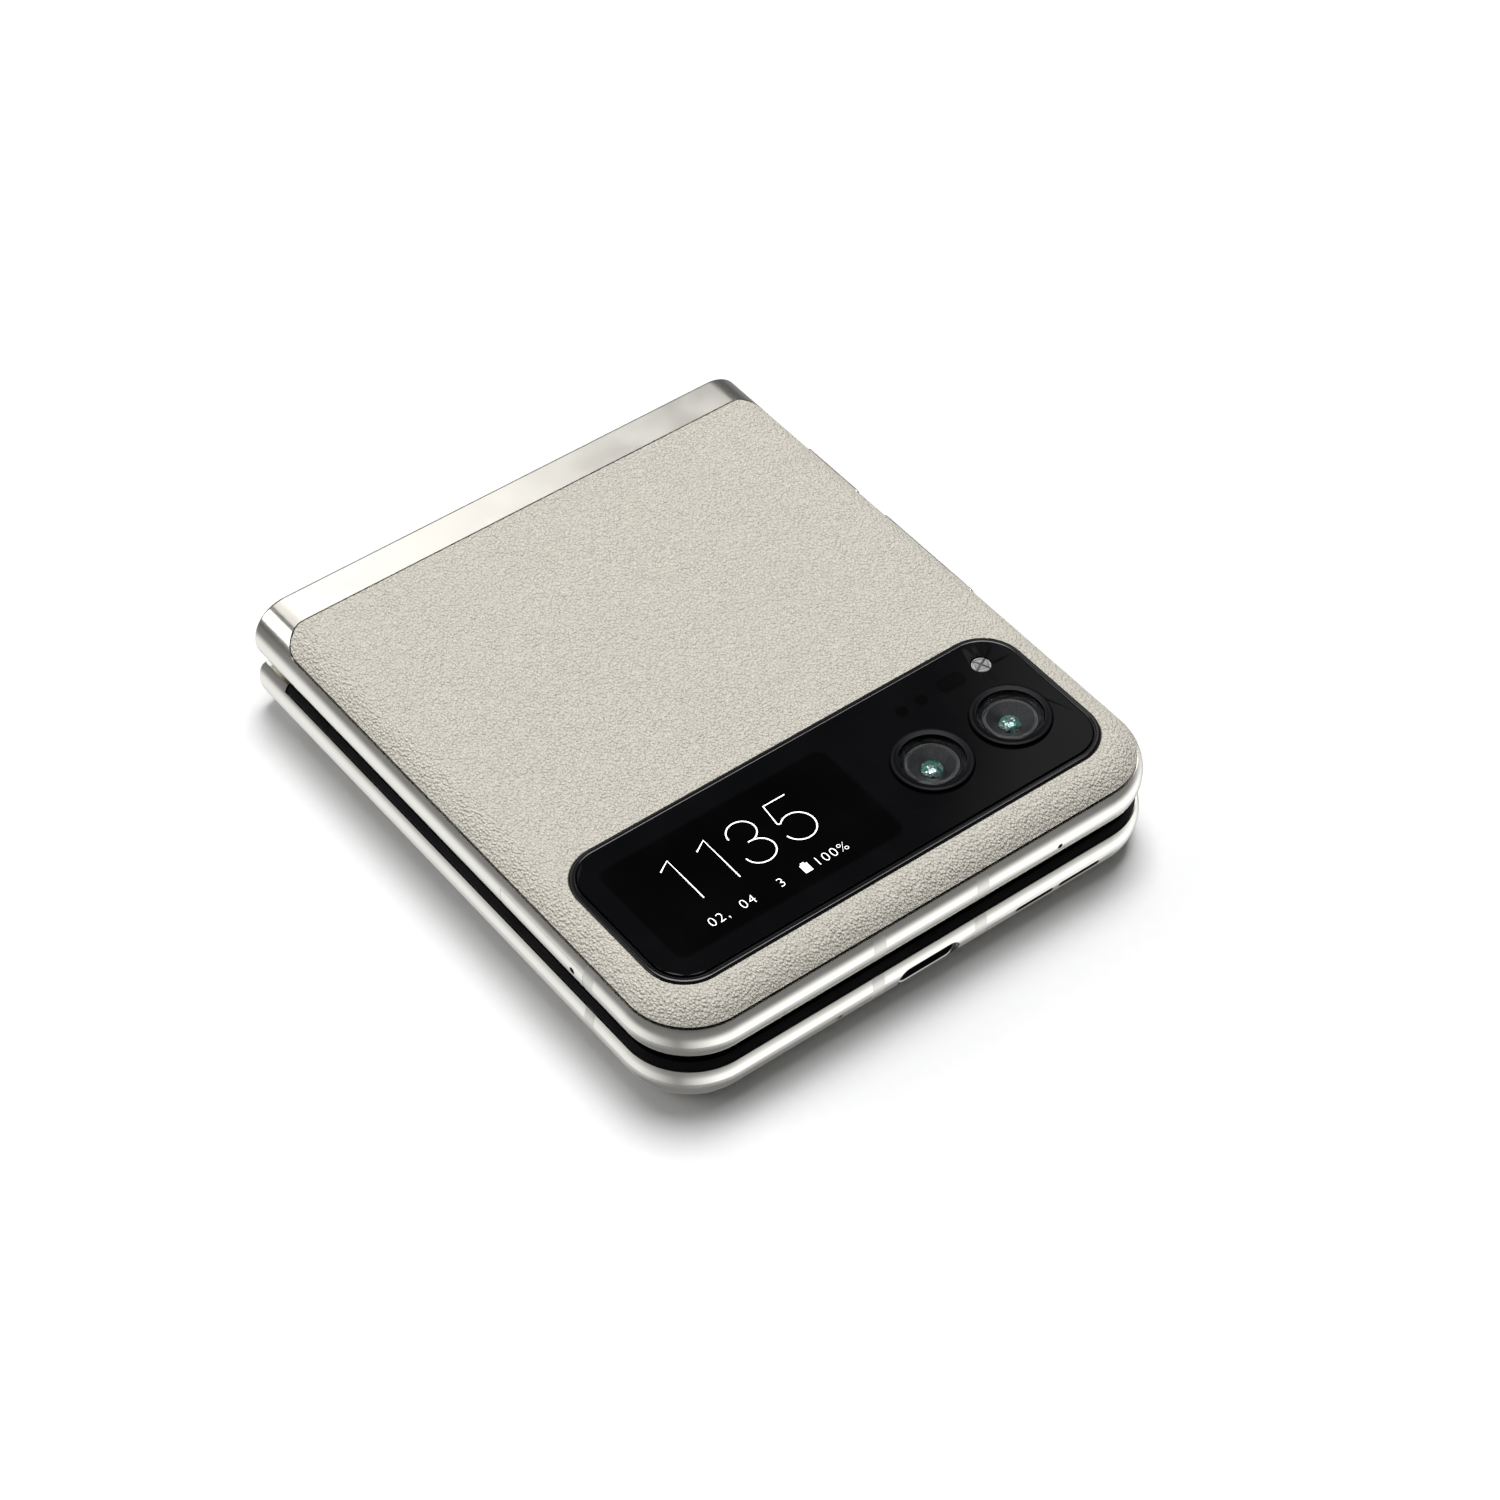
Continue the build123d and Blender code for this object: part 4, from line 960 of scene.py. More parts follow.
@dataclass(frozen=True)
class BoardFinish:
    """Circuit board with solder mask over tracks and small tinned pads."""

    name: str
    mask: Colour = (0.012, 0.06, 0.03)
    track: Colour = (0.03, 0.12, 0.055)
    pad: Colour = (0.75, 0.6, 0.3)
    track_width: float = 2.6
    pad_pitch: float = 1.7
    mask_depth: float = 0.03

    def build(self) -> Material:
        """Makes the material.

        Returns:
            The material.
        """
        sheet = FinishSheet(self.name)
        tracks = sheet.node(
            "ShaderNodeTexBrick",
            {
                "Vector": sheet.place,
                "Scale": 1.0 / mm(self.track_width),
                "Mortar Size": 0.06,
                "Color1": (0.0, 0.0, 0.0, 1.0),
                "Color2": (0.25, 0.25, 0.25, 1.0),
                "Mortar": (0.55, 0.55, 0.55, 1.0),
            },
        ).outputs["Color"]
        pads = sheet.cells(self.pad_pitch, Cells.CENTRES, sheet.place).outputs["Distance"]
        spots = sheet.span(pads, 1.0, 0.0, 0.14, 0.17)
        tone = sheet.sum(tracks, spots, 1.0)
        return sheet.done(
            Base_Color=sheet.ramp(tone, ((0.1, self.mask), (0.5, self.track), (0.95, self.pad))),
            Metallic=sheet.span(spots, 0.0, 0.9),
            Roughness=sheet.span(tracks, 0.34, 0.5),
            Normal=sheet.relief(tone, self.mask_depth),
        )


@dataclass(frozen=True)
class StageFinish:
    """Matt paper of the studio floor."""

    name: str
    colour: Colour
    fibre: float = 1.5
    greyer: float = 0.985

    def build(self) -> Material:
        """Makes the material.

        Returns:
            The material.
        """
        sheet = FinishSheet(self.name)
        fibre = sheet.cloud(self.fibre, 3.0)
        greyer = tuple(channel * self.greyer for channel in self.colour)
        return sheet.done(
            Base_Color=sheet.ramp(fibre, ((0.3, greyer), (0.7, self.colour))),
            Roughness=sheet.span(fibre, 0.85, 0.95),
            Specular_IOR_Level=0.1,
        )


class Palette:
    """Every finish of the phone, made once."""

    def __init__(self) -> None:
        """Makes the finishes and sorts them by the record's material slots."""
        leather = LeatherFinish("cream_grain_painted_shade", (0.65, 0.616, 0.54), (0.5, 0.474, 0.414))
        rim = DarkGlossFinish(
            "glass_rim_black", (0.003, 0.003, 0.004), (0.0015, 0.0015, 0.0018), 0.12, gloss=0.28
        )
        ring = MetalFinish("lens_ring_dark", (0.0085, 0.0085, 0.0095), (0.006, 0.006, 0.0065), 0.42)
        display = DarkGlossFinish(
            "display_film_black", (0.006, 0.006, 0.007), (0.003, 0.003, 0.004), 0.09, gloss=0.22
        )
        sensor = DarkGlossFinish(
            "sensor_black_film", (0.0012, 0.0012, 0.0014), (0.0006, 0.0006, 0.0007), 0.1, gloss=0.06
        )
        self.leather = leather.build()
        self.pane = CoverGlassFinish("cover_pane_black", -12.7, -26.85, 16.2, 8.05).build()
        self.rim = rim.build()
        self.ring = ring.build()
        self.coated_lens = GlintPaintedLensFinish("lens_painted_glints").build()
        self.ink = LightFinish("clock_ink", (1.0, 1.0, 0.98), 1.0).build()
        self.display = display.build()
        self.clear = ClearFinish("lens_window_clear", (0.97, 0.98, 0.985), (0.92, 0.94, 0.95)).build()
        self.flash = FlashFinish("flash_ridged", FLASH_X, FLASH_Y, FLASH_TURN).build()
        self.sensor = sensor.build()
        self.amber = DarkGlossFinish("flex_amber_film", (0.5, 0.22, 0.04), (0.38, 0.15, 0.025), 0.28).build()
        self.by_slot: dict[str, Material] = {
            "cream_leather": self.leather,
            "display_film": self.display,
            "black_glass": self.pane,
            "lens_glass": self.coated_lens,
            "cover_screen": self.display,
            "ring_metal": self.ring,
            "flash_lens": self.flash,
            "sensor_black": self.sensor,
            "flex_amber": self.amber,
            "copper_coil": CoilFinish("coil_winding", 5.05).build(),
            "board_green": BoardFinish("board_mask").build(),
        }
        brushed_along = (1.0, 0.05, 1.0)
        brushed_across = (0.06, 1.0, 1.0)
        spine_brush = (0.08, 1.0, 1.0)
        plain = {
            "champagne_metal": MetalFinish("champagne_satin", (0.80, 0.775, 0.715), (0.74, 0.71, 0.65), 0.2),
            "spine_metal": MetalFinish(
                "spine_satin", (0.76, 0.735, 0.68), (0.7, 0.67, 0.61), 0.24, brush=spine_brush
            ),
            "break_plastic": MetalFinish("break_lacquer", (0.7, 0.68, 0.63), (0.64, 0.62, 0.57), 0.34),
            "dark_plastic": PlasticFinish("inner_plastic", (0.022, 0.022, 0.024), (0.012, 0.012, 0.013), 0.45),
            "bezel_plastic": PlasticFinish(
                "bezel_black", (0.005, 0.005, 0.0055), (0.003, 0.003, 0.0035), 0.28, grain_depth=0.001, gloss=0.15
            ),
            "steel_plate": MetalFinish(
                "plate_steel", (0.55, 0.55, 0.55), (0.45, 0.45, 0.45), 0.35, brush=brushed_along
            ),
            "battery_wrap": PlasticFinish("battery_film", (0.035, 0.036, 0.04), (0.02, 0.02, 0.023), 0.3),
            "tin_can": MetalFinish("tin_sheet", (0.66, 0.66, 0.65), (0.55, 0.55, 0.54), 0.3),
            "hinge_steel": MetalFinish(
                "hinge_ground_steel", (0.5, 0.5, 0.51), (0.4, 0.4, 0.41), 0.28, brush=brushed_across
            ),
            "lens_barrel": PlasticFinish("barrel_black", (0.0048, 0.0048, 0.0056), (0.0036, 0.0036, 0.004), 0.6),
            "socket_steel": MetalFinish("socket_steel_bright", (0.42, 0.42, 0.42), (0.3, 0.3, 0.3), 0.3),
        }
        for slot, finish in plain.items():
            self.by_slot[slot] = finish.build()

    def dress(self, frame: dict) -> None:
        """Gives every carried-over node the finish of its slot.
        """
        for name, node in frame["nodes"].items():
            for slot in node.material_slots:
                slot.material = self.by_slot[slot.material.name.split(".")[0]]
            LOG.info("%s: %s", name, node.material_slots[0].material.name)


# ---------------------------------------------------------------------------------------------------------------
# Leather
# ---------------------------------------------------------------------------------------------------------------


@dataclass
class LeatherSkin:
    """Leather of one half: flat on the back, turned down over the rounded side and free edges.

    It is drawn with its outer face up, and the lower one is then turned over. The sheet starts out longer than it
    ends by `spare`, and a point within `flat` metres of the top is on the flat back.
    """

    name: str
    node: str
    body: Body
    border: float
    window: bool
    height: float = BODY_HEIGHT
    width: float = 73.95
    free_edge: float = -44.12
    hinge_end: float = 36.08
    edge_round: float = 4.65
    plan_corner: float = 9.1
    hinge_corner: float = 3.5
    thickness: float = 0.5
    soft_edge: float = 0.14
    soft_steps: int = 3
    turn_steps: int = 12
    corner_steps: int = 20
    hinge_cuts: int = 12
    spare: float = 2.0
    window_gap: float = 0.05
    window_steps: int = 16
    flat: float = 1e-7

    def build(self, palette: Palette) -> bpy.types.Object:
        """Models the skin.

        Args:
            palette: The finishes.

        Returns:
            The finished skin.
        """
        bench = Bench(self.name)
        half = self.width / 2 - self.border
        start = self.free_edge + self.border
        end = self.hinge_end + 2 * self.edge_round + self.spare
        first = math.acos(1.0 - self.border / self.edge_round)
        low = self.height - self.edge_round * (1.0 - math.sin(first))
        bench.plate(0.0, (start + end) / 2, low, 2 * half, end - start)
        bench.pick(Part.VERTS, lambda place, _: place.y < 0)
        bench.round_corners(self.plan_corner - self.border, self.corner_steps)
        bench.pick(Part.FACES)
        self._turn_down(bench, first)
        self._round_hinge_end(bench, half)
        if self.window:
            self._open_window(bench)
        bench.tidy(closed=False)
        bench.thicken(self.thickness)
        bench.soften(self.soft_edge, self.soft_steps)
        if self.body is Body.LOWER:
            self._turn_over(bench)
        piece = bench.finish(self.body, palette.leather, "cream_leather")
        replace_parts(piece, self.node)
        return piece

    def _turn_down(self, bench: Bench, first: float) -> None:
        """Insets ring after ring up the rounded edge, from the cut border to the flat back.

        Args:
            bench: The bench with the flat sheet on it.
            first: Angle on the rounded edge at which the leather ends.
        """
        for step in range(self.turn_steps):
            share = step / self.turn_steps
            next_share = (step + 1) / self.turn_steps
            angle = first + (math.pi / 2 - first) * share
            next_angle = first + (math.pi / 2 - first) * next_share
            across = self.edge_round * (math.cos(angle) - math.cos(next_angle))
            rise = self.edge_round * (math.sin(next_angle) - math.sin(angle))
            bench.inset(across, rise)

    def _round_hinge_end(self, bench: Bench, half: float) -> None:
        """Trims the sheet straight at the hinge bar and rounds its two corners there.

        Args:
            bench: The bench with the sheet on it.
            half: Half the sheet's width.
        """
        bench.slice(0.0, self.hinge_end, 0.0, (0.0, 1.0, 0.0))
        radius = self.hinge_corner
        for side in (-1.0, 1.0):
            centre_x = side * (half - radius)
            centre_y = self.hinge_end - radius
            for cut in range(1, self.hinge_cuts):
                angle = math.pi / 2 * cut / self.hinge_cuts
                normal = (side * math.sin(angle), math.cos(angle), 0.0)
                bench.slice(centre_x + normal[0] * radius, centre_y + normal[1] * radius, 0.0, normal)

    def _open_window(self, bench: Bench) -> None:
        """Cuts the opening that the cover glass stands in.

        Args:
            bench: The bench with the sheet on it.
        """
        low = mm(self.height) - self.flat
        gap = self.window_gap
        glass = CoverGlass()
        bench.pick(Part.FACES, lambda place, normal: place.z > low and normal.z > 0.999)
        bpy.ops.mesh.delete(type="ONLY_FACE")
        bench.add_plate(0.0, glass.middle_y, self.height, glass.width + 2 * gap, glass.length + 2 * gap)
        bench.round_corners(glass.corner + gap, self.window_steps)
        bpy.ops.mesh.delete(type="ONLY_FACE")
        bpy.ops.mesh.select_mode(type="EDGE")
        bpy.ops.mesh.select_all(action="DESELECT")
        mesh = bmesh.from_edit_mesh(bench.piece.data)
        for edge in mesh.edges:
            on_top = all(vert.co.z > low for vert in edge.verts)
            if on_top and len(edge.link_faces) < 2:
                edge.select_set(True)
        bmesh.update_edit_mesh(bench.piece.data)
        bpy.ops.mesh.fill(use_beauty=True)

    def _turn_over(self, bench: Bench) -> None:
        """Turns the skin over about the line along the phone, onto the lower half."""
        bench.piece.data.transform(
            Matrix.Translation(mm3(0.0, 0.0, self.height)) @ Matrix.Rotation(math.pi, 4, "Y")
        )


# ---------------------------------------------------------------------------------------------------------------
# Cover glass, clock and cameras
# ---------------------------------------------------------------------------------------------------------------


@dataclass
class CoverGlass:
    """Black glass panel on the upper half: a rolled outer rim and a pane that sits in it."""

    width: float = 65.46
    length: float = 23.9
    front: float = -38.80
    corner: float = 5.5
    top: float = 16.15
    thickness: float = 0.8
    rim: float = 1.0
    rim_drop: float = 0.08
    rim_round: float = 0.34
    pane_gap: float = 0.03
    pane_round: float = 0.2
    lens_hole: float = 5.09
    flash_hole: float = 1.32
    film_low: float = 0.05
    film_height: float = 0.06
    film_edge: Point = (0.05, 0.004)
    sensors: tuple[Point, ...] = ((18.03, -19.87), (15.05, -19.97))
    sensor_radius: float = 0.9
    focus_place: Point = (22.73, -19.75)
    focus_size: Point = (4.0, 2.4)
    focus_corner: float = 1.1

    @property
    def middle_y(self) -> float:
        """The panel's middle along the phone."""
        return self.front + self.length / 2

    def build(self, palette: Palette) -> None:
        """Models the panel.

        Args:
            palette: The finishes.
        """
        rim = self._rim(palette)
        pane = self._pane(palette)
        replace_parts(rim, "cover_glass")
        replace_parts(pane, "cover_glass")
        self._sensor_windows(palette)

    def _rim(self, palette: Palette) -> bpy.types.Object:
        """Models the rolled rim round the pane.

        Args:
            palette: The finishes.

        Returns:
            The finished rim.
        """
        near = mm(1.0)
        bench = Bench("cover_rim")
        bench.plate(0.0, self.middle_y, self.top - self.thickness, self.width, self.length)
        bench.pick(Part.VERTS)
        bench.round_corners(self.corner, 20)
        bench.pick(Part.FACES)
        bench.inset(self.rim)
        bench.pick(Part.FACES, lambda place, _: abs(place.x) < near and abs(place.y - mm(self.middle_y)) < near)
        bpy.ops.mesh.delete(type="FACE")
        bench.pick(Part.FACES)
        bench.pull(0.0, 0.0, self.thickness - self.rim_drop)
        bench.tidy()
        bench.soften(self.rim_round, 5)
        return bench.finish(Body.UPPER, palette.rim, "black_glass")

    def _pane(self, palette: Palette) -> bpy.types.Object:
        """Models the pane with its holes for the lenses and the flash.

        Args:
            palette: The finishes.

        Returns:
            The finished pane.
        """
        bench = Bench("cover_pane")
        gap = self.rim + self.pane_gap
        low = self.top - self.thickness
        bench.plate(0.0, self.middle_y, low, self.width - 2 * gap, self.length - 2 * gap)
        bench.pick(Part.VERTS)
        bench.round_corners(self.corner - gap, 18)
        bpy.ops.mesh.select_all(action="SELECT")
        bpy.ops.mesh.delete(type="ONLY_FACE")
        for lens_x in LENS_X:
            bench.add_circle(lens_x, LENS_Y, low, self.lens_hole, 72)
        bench.add_circle(FLASH_X, FLASH_Y, low, self.flash_hole, 40)
        bpy.ops.mesh.select_mode(type="EDGE")
        bpy.ops.mesh.select_all(action="SELECT")
        bpy.ops.mesh.fill(use_beauty=True)
        bench.pick(Part.FACES)
        bench.pull(0.0, 0.0, self.thickness)
        bench.tidy()
        bench.soften(self.pane_round, 4)
        return bench.finish(Body.UPPER, palette.pane, "black_glass")

    def _sensor_windows(self, palette: Palette) -> None:
        """Models the dark windows behind which the light sensors look out.

        Args:
            palette: The finishes.
        """
        low = self.top - self.film_low
        bench = Bench("sensor_window_1")
        first_x, first_y = self.sensors[0]
        bench.disc(first_x, first_y, low, self.sensor_radius, 40)
        first = self._film(bench, palette)
        for index, (x, y) in enumerate(self.sensors[1:], start=2):
            copy = first.copy()
            copy.data = first.data.copy()
            copy.name = f"sensor_window_{index}"
            copy.data.name = copy.name
            copy.data.transform(Matrix.Translation(mm3(x - first_x, y - first_y, 0.0)))
            bpy.context.collection.objects.link(copy)
            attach(copy, Body.UPPER.value)
        bench = Bench("focus_window")
        bench.plate(*self.focus_place, low, *self.focus_size)
        bench.pick(Part.VERTS)
        bench.round_corners(self.focus_corner, 10)
        self._film(bench, palette)

    def _film(self, bench: Bench, palette: Palette) -> bpy.types.Object:
        """Makes a low window with a softened edge from an outline.

        Args:
            bench: The bench with the outline on it.
            palette: The finishes.

        Returns:
            The finished window.
        """
        bench.pick(Part.FACES)
        bench.pull(0.0, 0.0, self.film_height)
        bench.inset(*self.film_edge)
        bench.tidy()
        return bench.finish(Body.UPPER, palette.sensor, "sensor_black")


@dataclass
class Lens:
    """One camera in the cover glass: its ring, its window and its front element.

    The two lips say how the ring's top is rounded: how far in from the outer wall, or out from the inner one, and
    how far below the top each point of the profile lies.
    """

    label: str
    x: float
    y: float = LENS_Y
    ring_radius: float = 5.04
    ring_wall: float = 1.02
    ring_top: float = 16.65
    ring_low: float = 14.68
    seat_top: float = 15.78
    throat_radius: float = 3.4
    outer_lip: tuple[Point, ...] = ((0.0, 0.22), (0.06, 0.08), (0.2, 0.0), (0.5, 0.0), (0.62, 0.06))
    inner_lip: tuple[Point, ...] = ((0.22, 0.08), (0.04, 0.12), (0.0, 0.25))
    window_radius: float = 3.97
    window_top: float = 16.40
    window_thickness: float = 0.6
    window_edge: Point = (0.1, 0.08)
    core_radius: float = 1.43
    core_top: float = 14.72
    core_skirt: float = 0.42
    dome_rise: float = 0.62
    dome_steps: int = 9

    def ring(self, palette: Palette) -> bpy.types.Object:
        """Models the stepped ring that stands round the window.

        Args:
            palette: The finishes.

        Returns:
            The finished ring.
        """
        outer = self.ring_radius
        inner = outer - self.ring_wall
        bench = Bench(f"lens_ring_{self.label}")
        profile = [
            (self.throat_radius, self.ring_low),
            (outer, self.ring_low),
            *((outer - across, self.ring_top - down) for across, down in self.outer_lip),
            *((inner + across, self.ring_top - down) for across, down in self.inner_lip),
            (inner, self.seat_top),
            (self.throat_radius, self.seat_top),
            (self.throat_radius, self.ring_low),
        ]
        bench.spin_profile(profile, self.x, self.y, 96)
        return bench.finish(Body.UPPER, palette.ring, "ring_metal", 30.0)

    def window(self, palette: Palette) -> bpy.types.Object:
        """Models the clear window with its polished edge.

        Args:
            palette: The finishes.

        Returns:
            The finished window.
        """
        bench = Bench(f"lens_window_{self.label}")
        bench.disc(self.x, self.y, self.window_top - self.window_thickness, self.window_radius, 96)
        bench.pick(Part.FACES)
        bench.pull(0.0, 0.0, self.window_thickness - self.window_edge[1])
        bench.inset(*self.window_edge)
        bench.tidy()
        return bench.finish(Body.UPPER, palette.clear, "lens_glass")

    def element(self, palette: Palette) -> bpy.types.Object:
        """Models the domed front element down in the barrel.

        Args:
            palette: The finishes.

        Returns:
            The finished element.
        """
        bench = Bench(f"lens_element_{self.label}")
        low = self.core_top - self.core_skirt
        profile = [(0.0, low), (self.core_radius, low)]
        for step in range(self.dome_steps):
            angle = math.pi / 2 * step / self.dome_steps
            rise = self.dome_rise * math.sin(angle)
            profile.append((self.core_radius * math.cos(angle), self.core_top + rise))
        profile.append((0.0, self.core_top + self.dome_rise))
        bench.spin_profile(profile, self.x, self.y, 48)
        return bench.finish(Body.UPPER, palette.coated_lens, "lens_glass", 50.0)


@dataclass
class Cameras:
    """Both cameras and the flash beside them.

    Each of the flash's ridges goes in and then up by so much, quarter by quarter.
    """

    flash_radius: float = 1.2
    flash_low: float = 14.28
    flash_top: float = 16.08
    flash_dome: float = 0.1
    flash_ridges: tuple[Point, ...] = ((0.09, 0.0), (0.03, 0.06), (0.12, 0.04))

    def build(self, palette: Palette) -> None:
        """Models the rings, windows, elements and the flash.

        Args:
            palette: The finishes.
        """
        rings: list[bpy.types.Object] = []
        windows: list[bpy.types.Object] = []
        elements: list[bpy.types.Object] = []
        for label, x in zip(("main", "wide"), LENS_X):
            lens = Lens(label, x)
            rings.append(lens.ring(palette))
            windows.append(lens.window(palette))
            elements.append(lens.element(palette))
        for piece in rings:
            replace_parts(piece, "lens_rings")
        for piece in windows:
            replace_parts(piece, "lens_windows")
        for piece in elements:
            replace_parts(piece, "camera_lenses")
        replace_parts(self._flash(palette), "flash_led")

    def _flash(self, palette: Palette) -> bpy.types.Object:
        """Models the flash: a frosted cap whose top is four domed quarters with a cross between them.

        Args:
            palette: The finishes.

        Returns:
            The finished flash.
        """
        bench = Bench("flash_cap")
        bench.disc(FLASH_X, FLASH_Y, self.flash_low, self.flash_radius, 48)
        for angle in (FLASH_TURN, FLASH_TURN + 90.0):
            turned = math.radians(angle)
            bpy.ops.mesh.select_all(action="SELECT")
            bpy.ops.mesh.bisect(
                plane_co=mm3(FLASH_X, FLASH_Y, 0.0),
                plane_no=(math.cos(turned), math.sin(turned), 0.0),
            )
        bench.pick(Part.FACES)
        bench.pull(0.0, 0.0, self.flash_top - self.flash_low - self.flash_dome)
        for width, rise in self.flash_ridges:
            bpy.ops.mesh.inset(thickness=mm(width), depth=mm(rise), use_individual=True)
        bench.tidy()
        return bench.finish(Body.UPPER, palette.flash, "flash_lens")


@dataclass
class Clock:
    """Lit figures under the cover glass: the time, the day and the charge, as plain numbers.

    A one is an upright with a flag. The sign of the charge is a block with a nib: `sign_x` is its middle, and
    `sign_low` and `sign_high` are its ends.
    """

    top: float = 16.155
    cap_y: float = -22.0
    foot_y: float = -29.0
    ones_x: Point = (-21.25, -16.07)
    flag_x: float = 1.65
    flag_y: float = 1.0
    base_y: float = -33.15
    stroke: float = 0.17
    ink_height: float = 0.012
    type_size: float = 1.95
    type_thinner: float = -0.04
    arc_steps: int = 26
    sign_x: float = -9.27
    sign_low: float = -33.17
    sign_high: float = -31.85
    sign_width: float = 1.05
    nib_width: float = 0.52
    nib_height: float = 0.26

    def build(self, palette: Palette) -> None:
        """Models the figures.

        Args:
            palette: The finishes.
        """
        for index, x in enumerate(self.ones_x, start=1):
            one = [(x - self.flag_x, self.cap_y - self.flag_y), (x, self.cap_y), (x, self.foot_y)]
            self._stroke(f"clock_one_{index}", [one], palette)
        bowl = self._arc(-11.87, -23.72, 1.85, 1.72, 182.0, -75.0)
        belly = [(-12.15, -25.34)] + self._arc(-11.85, -27.17, 2.02, 1.83, 80.0, -178.0)
        self._stroke("clock_three", [bowl, belly], palette)
        five = [(-4.3, self.cap_y), (-7.4, self.cap_y), (-7.78, -25.2)]
        self._stroke("clock_five", [five + self._arc(-5.95, -26.87, 2.12, 2.13, 135.0, -168.0)], palette)
        self._figures("day_figures", "02,  04", -23.2, palette, 1.2)
        self._figures("date_figure", "3", -13.4, palette)
        self._figures("charge_figures", "100%", -8.1, palette, 1.18)
        self._battery(palette)

    def _arc(self, x: float, y: float, wide: float, tall: float, start: float, end: float) -> list[Point]:
        """Gives points along part of an ellipse.

        Args:
            x: Its middle across.
            y: Its middle along.
            wide: Half its width.
            tall: Half its height.
            start: Where the arc starts, in degrees.
            end: Where it ends.

        Returns:
            The points, in millimetres.
        """
        points = []
        for step in range(self.arc_steps + 1):
            angle = math.radians(start + (end - start) * step / self.arc_steps)
            points.append((x + wide * math.cos(angle), y + tall * math.sin(angle)))
        return points

    def _stroke(self, name: str, lines: list[list[Point]], palette: Palette) -> bpy.types.Object:
        """Models one figure as a flat line of even width.

        Args:
            name: Name of the figure.
            lines: Points of each of its lines.
            palette: The finishes.

        Returns:
            The finished figure.
        """
        bench = Bench(name)
        curve = bpy.data.curves.new(name, "CURVE")
        curve.dimensions = "3D"
        curve.bevel_depth = mm(self.stroke / 2)
        curve.bevel_resolution = 2
        curve.use_fill_caps = True
        for line in lines:
            spline = curve.splines.new("POLY")
            spline.points.add(len(line) - 1)
            for point, (x, y) in zip(spline.points, line):
                point.co = (mm(x), mm(y), 0.0, 1.0)
        figure = bpy.data.objects.new(name, curve)
        bpy.context.collection.objects.link(figure)
        bench.take(figure)
        bpy.ops.object.convert(target="MESH")
        self._flatten(bench)
        return bench.finish(Body.UPPER, palette.ink, "cover_screen")

    def _flatten(self, bench: Bench) -> None:
        """Presses a figure flat onto the glass.

        Args:
            bench: The bench with the figure on it.
        """
        bpy.ops.object.mode_set(mode="EDIT")
        bpy.ops.mesh.select_all(action="SELECT")
        flatter = mm(self.ink_height) / mm(self.stroke)
        bpy.ops.transform.resize(value=(1.0, 1.0, flatter), center_override=(0.0, 0.0, 0.0))
        bpy.ops.transform.translate(value=mm3(0.0, 0.0, self.top))
        bench.stop_editing()

    def _figures(
        self, name: str, text: str, x: float, palette: Palette, spread: float = 1.0
    ) -> bpy.types.Object:
        """Sets a line of small figures.

        Args:
            name: Name of the piece.
            text: The figures.
            x: Left end.
            palette: The finishes.
            spread: Room for each figure, as a share of the usual.

        Returns:
            The finished figures.
        """
        bench = Bench(name)
        bpy.ops.object.text_add(location=(0.0, 0.0, 0.0))
        words = bench.piece.data
        words.body = text
        words.size = mm(self.type_size)
        words.extrude = mm(self.ink_height / 2)
        words.offset = mm(self.type_thinner)
        words.space_character = spread
        words.resolution_u = 4
        bpy.ops.object.convert(target="MESH")
        bench.piece.location = mm3(x, self.base_y, self.top)
        bench.apply_place()
        return bench.finish(Body.UPPER, palette.ink, "cover_screen")

    def _battery(self, palette: Palette) -> bpy.types.Object:
        """Models the charge sign: a small block with a nib.

        Args:
            palette: The finishes.

        Returns:
            The finished sign.
        """
        bench = Bench("charge_sign")
        middle = self.sign_x
        low = self.sign_low
        high = self.sign_high
        near = 0.1
        bench.plate(middle, (low + high) / 2, self.top, self.sign_width, high - low)
        for side in (-1.0, 1.0):
            cut = mm3(middle + side * self.nib_width / 2, 0.0, 0.0)
            bpy.ops.mesh.select_all(action="SELECT")
            bpy.ops.mesh.bisect(plane_co=cut, plane_no=(1.0, 0.0, 0.0))
        bench.pick(
            Part.EDGES, lambda place, _: place.y > mm(high - near) and abs(place.x - mm(middle)) < mm(near)
        )
        bench.pull(0.0, self.nib_height, 0.0)
        bench.pick(Part.FACES)
        bench.pull(0.0, 0.0, self.ink_height)
        bench.tidy()
        return bench.finish(Body.UPPER, palette.ink, "cover_screen")


# ---------------------------------------------------------------------------------------------------------------
# Fold
# ---------------------------------------------------------------------------------------------------------------


